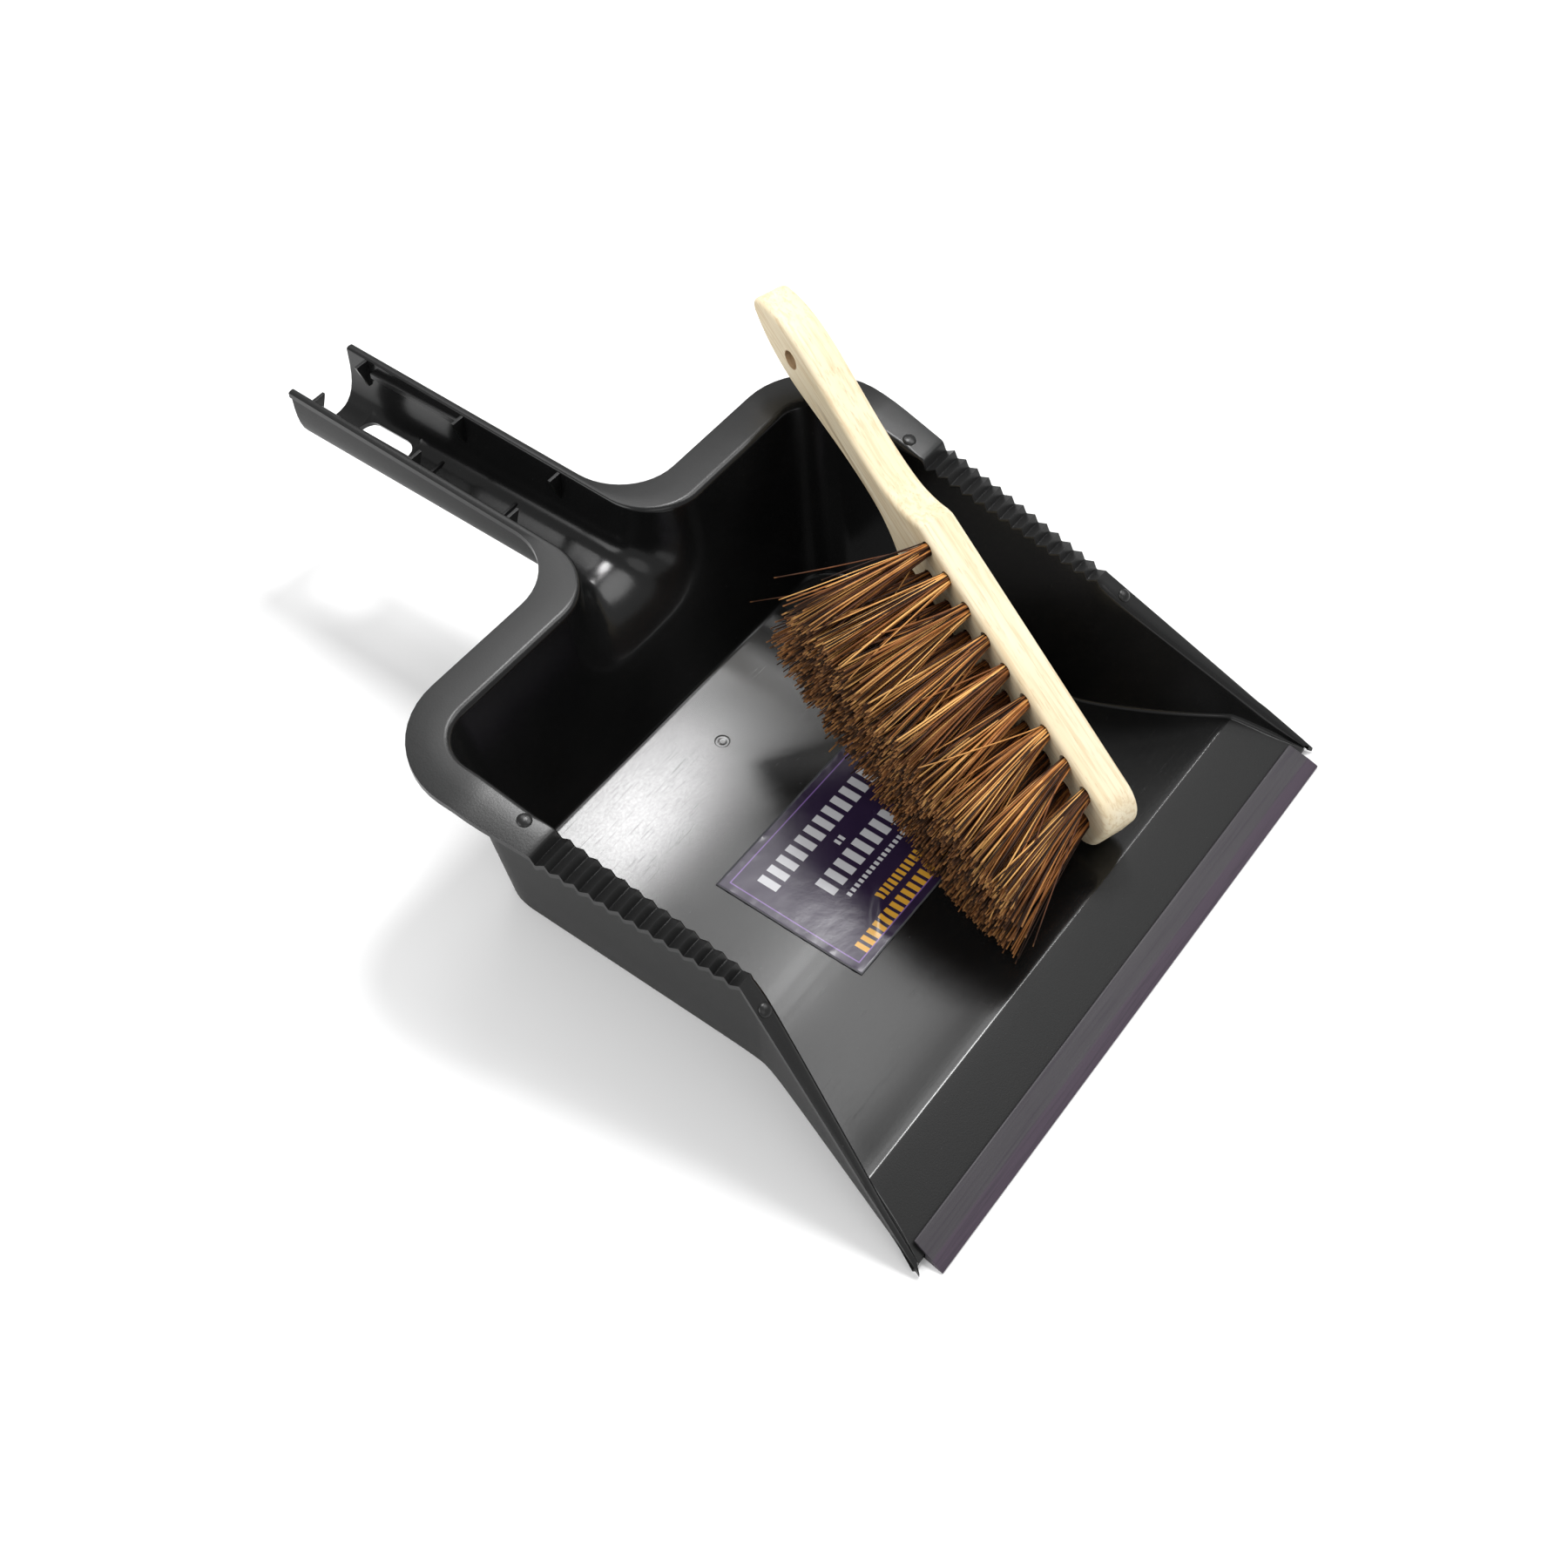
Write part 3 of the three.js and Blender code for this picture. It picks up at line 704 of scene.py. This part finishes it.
def buildRibs(materials):
    s = ribSettings
    bm = bmesh.new()
    half, (into, ledgeInto), (bevelled, deep) = pan["troughHalf"], s["rooted"], s["nose"]
    for y in s["gussets"]:
        top, end = rimHeight(y) - s["belowRim"], half - s["reach"]
        low = top - s["drop"]
        plate(bm, [(half + into, y, top), (end, y, top), (end + bevelled, y, top - deep),
                   (half - s["footIn"], y, low), (half + ledgeInto, y, low)], s["thick"])
    y0, y1, width, high, down = s["ledge"]
    top = rimHeight(y0) - down
    plate(bm, [(half + ledgeInto, y0, top), (half - width, y0, top), (half - width, y0, top - high),
               (half + ledgeInto, y0, top - high)], y1 - y0)
    bottom = rimHeight(pan["saddle"][1]) - pan["troughDepth"]
    ribHalf, z0, z1, thick = s["crossRib"]
    z0, z1 = bottom + z0, bottom + z1
    for y in s["crossRibs"]:
        plate(bm, [(0, y, z1), (0, y, z0), (ribHalf, y, z0), (ribHalf, y, z1)], thick)
    bmesh.ops.mirror(bm, geom=bm.verts[:] + bm.edges[:] + bm.faces[:], merge_dist=0.001, axis="X",
                     matrix=Matrix.Identity(4))
    for x, y, r, high in s["domes"]:
        lean = math.atan2(rimHeight(y + 1) - rimHeight(y - 1), 2)
        for sign in (-1, 1):
            at = Matrix.Translation((sign * x, y, rimHeight(y) - s["sunk"])) @ Matrix.Rotation(lean, 4, "X")
            dome = bmesh.ops.create_uvsphere(bm, u_segments=24, v_segments=12, radius=1.0)["verts"]
            for v in dome:
                flat = s["flatUnder"] if v.co.z < 0 else 1.0
                v.co = at @ Vector((v.co.x * r, v.co.y * r, v.co.z * high * flat))
    bmesh.ops.recalc_face_normals(bm, faces=bm.faces)
    intoFrame(bm)
    piece = newPiece("panRibs", bm, "pan", materials)
    softenEdges(piece)


lipSettings = {
    "profile": [(-6.4, 0.0), (-6.4, 0.75), (-5.9, 1.2), (-1.2, 3.5), (-0.4, 3.75), (4.0, 5.5), (8.3, 7.25),
                (9.1, 7.3), (9.4, 6.9), (9.4, 5.75), (3.15, 3.65), (3.15, 0.45), (8.5, 0.5), (8.5, 0.0)],
    "backHalf": 156.0,
    "frontHalf": 158.0,
    "steps": 60,
    "ripple": (0.10, 6.0, 0.6),  # its height, how often it comes, where it starts above the ground
}


def lipFinish():
    f = Finish("lipRubber", IOR=1.45)
    spot = f.place()
    across = f.panY(spot)
    streaks = f.noise(f.place(scale=(6, 260, 60)), 3.0, 4.0, 0.6)
    cloud = f.noise(spot, 30.0, 3.0, 0.5)
    grain = f.noise(spot, 1500.0, 2.0, 0.5)
    front = across.below(-0.6, 0.8)
    colour = f.mix(front * 0.75 + cloud * 0.15, (0.034, 0.031, 0.036), (0.052, 0.034, 0.055))
    colour = f.mix(streaks.above(0.58, 0.1) * 0.6, colour, (0.022, 0.016, 0.026))
    rough = cloud * 0.16 + 0.30 + streaks * 0.12
    return f.feed(Base_Color=colour, Roughness=rough,
                  Normal=f.bump(grain * 0.02 + streaks * 0.05, mm))


def buildLip():
    s = lipSettings
    bm = bmesh.new()
    face = bm.faces.new([bm.verts.new((-1, y, z)) for y, z in s["profile"]])
    geom = [face]
    for k in range(s["steps"]):
        made = bmesh.ops.extrude_face_region(bm, geom=geom)
        bmesh.ops.translate(bm, verts=vertsOf(made), vec=(2 / s["steps"], 0, 0))
        if k:
            bmesh.ops.delete(bm, geom=geom, context="FACES_ONLY")
        geom = [f for f in made["geom"] if isinstance(f, bmesh.types.BMFace)]
    front, back = s["profile"][0][0], max(y for y, _ in s["profile"])
    high, often, above = s["ripple"]
    for v in bm.verts:
        share = (v.co.y - front) / (back - front)
        half = s["frontHalf"] + (s["backHalf"] - s["frontHalf"]) * share
        wave = high * noise.noise(Vector((v.co.x * often, share, 3.3))) if v.co.z > above else 0.0
        v.co = Vector((v.co.x * half, v.co.y, v.co.z + wave))
    bmesh.ops.recalc_face_normals(bm, faces=bm.faces)
    intoFrame(bm)
    piece = newPiece("lip", bm, "pan", [lipFinish()])
    softenEdges(piece, angle=25)
    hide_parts("lip_seal")


labelSettings = {
    "x": (-65.8, 41.0),
    "y": (98.6, 179.2),
    "lift": 0.35,
    "thick": 0.22,
    "cells": (84, 64),
    "wrinkle": 0.16,
    "curl": (0.5, 3.0),  # how high the edges lift, and how far in
    "puckerAt": (-33, 112),
    "puckerTurn": (0.88, 0.47),
    "pucker": (12, 2.6, 1.3),  # length, width and height
    "border": 4.4,
    "line": 0.6,
    "margin": 0.9,
    "barPeriod": (3.0, 0.66, 0.60),  # the least, its share of a bar's height, the share that is inked
    "bars": [  # x from, x to, y from, y to, gold
        (-53, 28, 155.0, 165.5, 0), (-15, -10, 147.0, 150.5, 0), (-39, 16, 133.0, 143.5, 0),
        (-35, 12, 126.5, 129.0, 0), (-28, 5, 113.5, 118.5, 1), (-55, 30, 103.5, 110.2, 1),
    ],
}


def labelFinish():
    s = labelSettings
    f = Finish("labelFilm", IOR=1.5, Specular_IOR_Level=0.5)
    spot = f.place()
    x, y = f.axis(spot, 0) / mm, f.panY(spot)
    (x0, x1), (y0, y1) = s["x"], s["y"]

    def inside(a0, a1, b0, b1):
        return x.above(a0, 0.12) * x.below(a1, 0.12) * y.above(b0, 0.12) * y.below(b1, 0.12)

    def within(gap):  # the label less a border
        return inside(x0 + gap, x1 - gap, y0 + gap, y1 - gap)

    line = within(s["border"]) - within(s["border"] + s["line"])
    cloud = f.noise(spot, 45.0, 3.0, 0.5)
    clear = 1 - within(s["margin"])
    colour = f.mix(cloud, (0.020, 0.012, 0.034), (0.034, 0.018, 0.058))
    colour = f.mix(clear, colour, (0.10, 0.10, 0.11))
    colour = f.mix(line, colour, (0.24, 0.13, 0.40))
    least, ofHeight, inked = s["barPeriod"]
    for a0, a1, b0, b1, gold in s["bars"]:
        ink = (0.80, 0.42, 0.05) if gold else (0.66, 0.66, 0.69)
        gaps = ((x - a0) / max(least, (b1 - b0) * ofHeight)).maths("FRACT").below(inked, 0.04)
        colour = f.mix(inside(a0, a1, b0, b1) * gaps, colour, ink)
    orange = f.noise(spot, 520.0, 2.0, 0.5)
    rough = cloud * 0.10 + 0.20
    return f.feed(Base_Color=colour, Roughness=rough, Normal=f.bump(orange * 0.03 + cloud * 0.08, mm))


def buildLabel():
    s = labelSettings
    columns, rows = s["cells"]
    bm = bmesh.new()
    bmesh.ops.create_grid(bm, x_segments=columns, y_segments=rows, size=0.5)
    (x0, x1), (y0, y1) = s["x"], s["y"]
    (curl, curlIn), (puckerX, puckerY), (cosine, sine) = s["curl"], s["puckerAt"], s["puckerTurn"]
    puckerLong, puckerWide, puckerHigh = s["pucker"]

    def ripple(x, y, often, seed):
        return noise.noise(Vector((x * often, y * often, seed)))

    for v in bm.verts:
        x = x0 + (x1 - x0) * (v.co.x + 0.5)
        y = y0 + (y1 - y0) * (v.co.y + 0.5)
        rim = min(x - x0, x1 - x, y - y0, y1 - y)
        edge = math.exp(-rim / curlIn)
        wave = ripple(x, y, 0.06, 1.7) + 0.5 * ripple(x, y, 0.16, 4.1)
        lift = s["wrinkle"] * (0.5 + 0.5 * wave) + curl * edge * max(0.0, ripple(x, y, 0.2, 9.0))
        dx, dy = x - puckerX, y - puckerY
        u, w = dx * cosine + dy * sine, -dx * sine + dy * cosine  # along and across the pucker
        ridge = math.exp(-((w / puckerWide) ** 2)) * math.exp(-((u - 2) / puckerLong) ** 2)
        v.co = Vector((x, y, floorHeight(y) + s["lift"] + lift + puckerHigh * ridge))
    made = bmesh.ops.extrude_face_region(bm, geom=bm.faces[:], use_keep_orig=True)
    bmesh.ops.translate(bm, verts=vertsOf(made), vec=(0, 0, -s["thick"]))
    turnOutward(bm)
    intoFrame(bm)
    piece = newPiece("labelFilm", bm, "pan", [labelFinish()])
    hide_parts("label")


brush = {
    "at": (42.3, 54.6, 33.8),
    "along": (0.305, 0.873, 0.38),
    "up": (0.931, -0.357, 0.074),
    "thick": 18.0,
    "headEnd": -10.4,
    "headHalf": 21.9,
    "headCorner": 14.4,
    "neck": 147.7,
    "handle": [(147.7, 21.9), (151.5, 19.9), (156, 16.6), (163, 12.9), (172, 9.9), (186, 8.6), (204, 9.3),
               (224, 11.6), (240, 13.75), (251, 14.25), (262, 13.3), (272, 10.7), (281, 6.5), (285.4, 3.4),
               (286.85, 0.0)],
    "edge": 2.8,
    "hang": (252.3, 0.6, 4.7),  # the hanging hole's place along and across, its radius
    "rows": 3,
    "perRow": 9,
    "pitch": 16.2,
    "rowPitch": 15.9,
    "first": 9.9,
    "stagger": -8.1,
    "hole": (3.7, 9.0),  # radius and depth
}
alongAxis = Vector(brush["along"]).normalized()
upAxis = Vector(brush["up"])
upAxis = (upAxis - alongAxis * upAxis.dot(alongAxis)).normalized()
acrossAxis = upAxis.cross(alongAxis)


def fromBrush(u, v, w):  # the brush's own axes to the pan's, in millimetres
    return Vector(brush["at"]) + alongAxis * u + acrossAxis * v + upAxis * w


def tuftRoots():
    made = []
    for row in range(brush["rows"]):
        v = brush["rowPitch"] * ((brush["rows"] - 1) / 2 - row)
        shift = brush["stagger"] if row == 1 else 0
        for k in range(brush["perRow"]):
            made.append(("abc"[row], k + 1, brush["first"] + shift + brush["pitch"] * k, v))
    return made


def woodFinish():
    f = Finish("stockWood", IOR=1.45, Specular_IOR_Level=0.25)
    turn = Matrix((alongAxis, acrossAxis, upAxis)).transposed().to_euler()
    local = f.place(location=fromPan(*brush["at"]), rotation=turn, kind="TEXTURE")
    u, v, w = (f.axis(local, k) / mm for k in range(3))

    def stretched(x, y, z):
        return f.node("ShaderNodeMapping", sockets={"Vector": local, "Scale": (x, y, z)})

    broad = f.noise(stretched(5, 60, 60), 1.6, 3.0, 0.5, 0.4)
    grain = f.noise(stretched(16, 420, 420), 1.2, 4.0, 0.6, 0.3)
    pores = f.noise(stretched(110, 1500, 1500), 1.0, 2.0, 0.5).above(0.66, 0.05)
    colour = f.ramp(broad, [(0.30, (0.75, 0.63, 0.42)), (0.72, (0.85, 0.76, 0.57))])
    colour = f.mix(grain.above(0.54, 0.08) * 0.60, colour, (0.64, 0.49, 0.29))
    colour = f.mix(pores * 0.35, colour, (0.52, 0.36, 0.19))
    streakU = f.node("ShaderNodeMapRange", sockets={"Value": u, "From Min": 170.0, "From Max": 232.0})
    middle = v + 4.2 + f.noise(stretched(20, 20, 20), 1.0) * 3.0 - streakU * 4.0
    streak = middle.maths("ABSOLUTE").below(1.1, 0.7) * u.above(176.0, 12.0) * u.below(226.0, 10.0)
    streak = streak * w.below(2.0, 0.8)  # only on the face that the tufts come out of
    colour = f.mix(streak * 0.55, colour, (0.33, 0.25, 0.15))
    hu, hv, hr = brush["hang"]
    away = ((u - hu) * (u - hu) + (v - hv) * (v - hv)).maths("SQRT")
    bored = away.below(hr + 0.35, 0.25) * w.above(-2.0, 0.5)
    inside = away.below(hr + 0.15, 0.1)
    colour = f.mix(bored * 0.65, colour, (0.42, 0.24, 0.10))
    colour = f.mix(inside * 0.5 * grain, colour, (0.20, 0.10, 0.04))
    rough = grain * 0.2 + 0.42
    height = grain * -0.05 + pores * -0.08
    return f.feed(Base_Color=colour, Roughness=rough, Normal=f.bump(height, mm, 0.9))


def buildStock():
    s = brush
    bm = bmesh.new()
    r, end, half = s["headCorner"], s["headEnd"], s["headHalf"]
    corner, straight = 10, 8  # the steps round the head's corner and along its side
    right = []
    for k in range(corner + 1):
        a = math.radians(180 - 90 * k / corner)
        right.append(Vector((end + r + r * math.cos(a), half - r + r * math.sin(a))))
    right += [Vector((end + r + (s["neck"] - end - r) * k / straight, half)) for k in range(1, straight)]
    right += curveThrough(s["handle"], 3)
    outline = right + [Vector((at.x, -at.y)) for at in reversed(right) if at.y > 0.01]
    face = bm.faces.new([bm.verts.new((at.x, at.y, 0)) for at in outline])
    made = bmesh.ops.extrude_face_region(bm, geom=[face])
    bmesh.ops.translate(bm, verts=vertsOf(made), vec=(0, 0, s["thick"]))
    bmesh.ops.recalc_face_normals(bm, faces=bm.faces)
    rims = [e for e in bm.edges if abs(e.verts[0].co.z - e.verts[1].co.z) < 0.01]
    bmesh.ops.bevel(bm, geom=rims, offset=s["edge"], offset_type="OFFSET", segments=5, profile=0.5,
                    affect="EDGES", clamp_overlap=True, material=-1)
    bmesh.ops.remove_doubles(bm, verts=bm.verts, dist=0.01)
    turnOutward(bm)
    for v in bm.verts:
        v.co = fromPan(*fromBrush(*v.co))
    piece = newPiece("stock", bm, "brush", [woodFinish()])

    cutters = bmesh.new()
    holeR, holeDeep = s["hole"]
    past = 4.0  # the cutters stand out of the wood
    bores = [(u, v, holeR, -past, holeDeep) for _, _, u, v in tuftRoots()]
    bores.append((*s["hang"], -past, s["thick"] + past))
    for u, v, radius, w0, w1 in bores:
        made = bmesh.ops.create_cone(cutters, cap_ends=True, segments=32, radius1=radius, radius2=radius,
                                     depth=w1 - w0)["verts"]
        bmesh.ops.translate(cutters, verts=made, vec=(u, v, (w0 + w1) / 2))
    for v in cutters.verts:
        v.co = fromPan(*fromBrush(*v.co))
    mesh = bpy.data.meshes.new("bores")
    cutters.to_mesh(mesh)
    cutters.free()
    bore = bpy.data.objects.new("bores", mesh)
    bpy.context.scene.collection.objects.link(bore)
    drill = piece.modifiers.new("holes", "BOOLEAN")
    drill.operation, drill.solver, drill.object = "DIFFERENCE", "EXACT", bore
    bpy.context.view_layer.update()
    bored = piece.evaluated_get(bpy.context.evaluated_depsgraph_get())
    drilled = bpy.data.meshes.new_from_object(bored)
    piece.modifiers.clear()
    piece.data = drilled
    bpy.data.objects.remove(bore)
    bm = bmesh.new()
    bm.from_mesh(drilled)
    for e in bm.edges:
        e.smooth = e.calc_face_angle(0) < math.radians(38)
    for face in bm.faces:
        face.smooth = True
    bm.to_mesh(drilled)
    bm.free()
    weighted = piece.modifiers.new("shading", "WEIGHTED_NORMAL")
    weighted.keep_sharp = True
    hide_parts("brush_stock")
    print("stock drilled, faces", len(drilled.polygons))


fibreSettings = {
    "perTuft": 112,
    "sides": 4,
    "steps": 6,
    "radius": (0.30, 0.52),
    "rootR": 2.8,  # how far from the middle of its hole a fibre may start
    "root": 3.0,  # how far up its hole a fibre starts
    "length": 68.0,
    "slant": 0.075,  # how much longer the fibres are toward the neck, per millimetre
    "spreadU": 1.15,
    "leanU": -13.5,  # how far the tips sit toward the head's end
    "spreadV": 1.38,
    "tipU": 9.8,
    "tipV": 10.5,
    "jitter": 1.9,
    "lowerRowsPaintedShade": 0.74,  # painted shade: the two lower rows' fibres are darkened for the shade they lie in
    "crossing": (0.16, 6.5),  # the share of fibres that lean across the others, and how far
    "strays": (0.012, 15.0),
    "wave": 0.45,
    "tuftLean": (1.2, 0.9),  # how much whole tufts differ
    "wild": 0.9,
    "crown": (2.0, 1.3),  # how much shorter the outer fibres are, and how soon
    "short": (0.04, 0.72, 0.95),  # the share of short fibres, and their length
    "opening": 1.12,
    "clear": 1.1,
    "settle": (1.5, 3.0),  # where a tip starts to slide over the floor
    "seed": 41,
}


def fibreFinish():
    f = Finish("bristleFibre", IOR=1.45, Specular_IOR_Level=0.22)
    uv = f.node("ShaderNodeUVMap", {"uv_map": "UVMap"})
    tone, along = f.axis(uv, 0), f.axis(uv, 1)
    spot = f.place()
    blotch = f.noise(spot, 130.0, 3.0, 0.6)
    fine = f.noise(spot, 900.0, 2.0, 0.5)
    mixed = tone + blotch * 0.30 + along * 0.06 - 0.17
    colour = f.ramp(mixed, [(0.10, (0.024, 0.010, 0.005)), (0.92, (0.84, 0.46, 0.15)),
                            (0.38, (0.12, 0.042, 0.016)), (0.66, (0.42, 0.16, 0.042))])
    # painted shade: fibres darken toward their tips, the darker-toned ones most, standing in for the shaded
    # cut ends of the lower rows
    colour = f.mix(along.above(0.80, 0.14) * (1.0 - tone * 0.85), colour, (0.018, 0.008, 0.004))
    colour = f.mix(along.above(0.985, 0.01) * tone, colour, (0.34, 0.16, 0.06))
    rough = fine * 0.25 + 0.42
    return f.feed(Base_Color=colour, Roughness=rough, Normal=f.bump(fine * 0.1, mm))


def fibrePaths(u, v, dice):
    s = fibreSettings
    # painted shade: the two lower rows get their tones scaled down, which darkens them
    paintedShade = 1.0 if v > 1 else s["lowerRowsPaintedShade"]
    middle = brush["first"] + brush["pitch"] * (brush["perRow"] - 1) / 2
    tipU, tipV = middle + (u - middle) * s["spreadU"] + s["leanU"], v * s["spreadV"]
    leanU, leanV = (dice.gauss(0, lean) for lean in s["tuftLean"])
    crown, crownIn = s["crown"]
    shortShare, *shorter = s["short"]
    near, slide = s["settle"]
    for _ in range(s["perTuft"]):
        away, turn = math.sqrt(dice.random()), dice.uniform(0, math.tau)
        x, y = away * math.cos(turn), away * math.sin(turn)
        u0, v0 = u + x * s["rootR"], v + y * s["rootR"]
        wild = 1.0 + (dice.random() ** 6) * s["wild"]
        stray = s["crossing"][1] if dice.random() < s["crossing"][0] else s["jitter"]
        if dice.random() < s["strays"][0]:
            stray = s["strays"][1]
        u1 = tipU + leanU + x * s["tipU"] * wild + dice.gauss(0, stray)
        v1 = tipV + leanV + y * s["tipV"] * wild + dice.gauss(0, stray * 0.8)
        longer = s["length"] + s["slant"] * (u - middle) - crown * (1 - math.cos(away * crownIn))
        longer += dice.gauss(0, 0.9)
        if dice.random() < shortShare:
            longer *= dice.uniform(*shorter)
        bend = dice.gauss(0, 1.0), dice.gauss(0, 1.0)
        phase = dice.uniform(0, math.tau), dice.uniform(0, math.tau)
        turns = dice.uniform(0.6, 1.6)
        path = []
        for k in range(s["steps"] + 1):
            t = k / s["steps"]
            w = s["root"] - (longer + s["root"]) * t
            opened = t ** s["opening"]
            sway = math.sin(math.pi * t)
            wu = s["wave"] * (bend[0] * sway + 0.45 * t * math.sin(phase[0] + turns * math.tau * t))
            wv = s["wave"] * (bend[1] * sway + 0.45 * t * math.sin(phase[1] + turns * math.tau * t))
            spot = fromBrush(u0 + (u1 - u0) * opened + wu, v0 + (v1 - v0) * opened + wv, w)
            lowest = floorHeight(max(4.0, spot.y)) + s["clear"]
            if spot.z < lowest + near:
                spot.z = lowest + near * math.exp((spot.z - lowest - near) / slide)
            path.append(spot)
        yield path, dice.uniform(*s["radius"]), dice.random() * paintedShade


def buildFibres(rowName, material):
    s = fibreSettings
    dice = random.Random(s["seed"] + ord(rowName))
    bm = bmesh.new()
    uvLayer = bm.loops.layers.uv.new("UVMap")
    sides, steps = s["sides"], s["steps"]
    names = []
    for row, number, u, v in tuftRoots():
        if row != rowName:
            continue
        names.append(f"tuft_{row}{number}")
        for path, radius, tone in fibrePaths(u, v, dice):
            grid = bmesh.ops.create_grid(bm, x_segments=sides, y_segments=steps, size=1.0)["verts"]
            spots = {}
            heading = [path[min(k + 1, steps)] - path[max(k - 1, 0)] for k in range(steps + 1)]
            turns = [way.to_track_quat("Z", "Y") for way in heading]
            for vert in grid:
                i = round((vert.co.x + 1) / 2 * sides)
                j = round((vert.co.y + 1) / 2 * steps)
                spots[vert] = (i, j)
                size = radius * (1.0 - 0.1 * j / steps)
                a = math.tau * (i % sides) / sides
                vert.co = path[j] + turns[j] @ Vector((size * math.cos(a), size * math.sin(a), 0))
            for face in {f for vert in grid for f in vert.link_faces}:
                for loop in face.loops:
                    loop[uvLayer].uv = (tone, spots[loop.vert][1] / steps)
    bmesh.ops.remove_doubles(bm, verts=bm.verts, dist=0.0005)
    bmesh.ops.holes_fill(bm, edges=[e for e in bm.edges if e.is_boundary], sides=sides)
    bmesh.ops.recalc_face_normals(bm, faces=bm.faces)
    for face in bm.faces:  # the new end caps have no place in the UV map yet
        if all(abs(loop[uvLayer].uv.x) < 1e-9 for loop in face.loops):
            for loop in face.loops:
                loop[uvLayer].uv = (0.5, 1.0)
    intoFrame(bm)
    piece = newPiece("fibres_" + rowName, bm, "brush", [material])
    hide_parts(*names)


buildStage(stageSettings)
plastics = [mouldedPlastic(kind) for kind in plasticSettings["finishes"]]
buildPan(plastics)
buildRibs(plastics[2:3])
buildLip()
buildLabel()
buildStock()
bristle = fibreFinish()
for rowName in "abc":
    buildFibres(rowName, bristle)
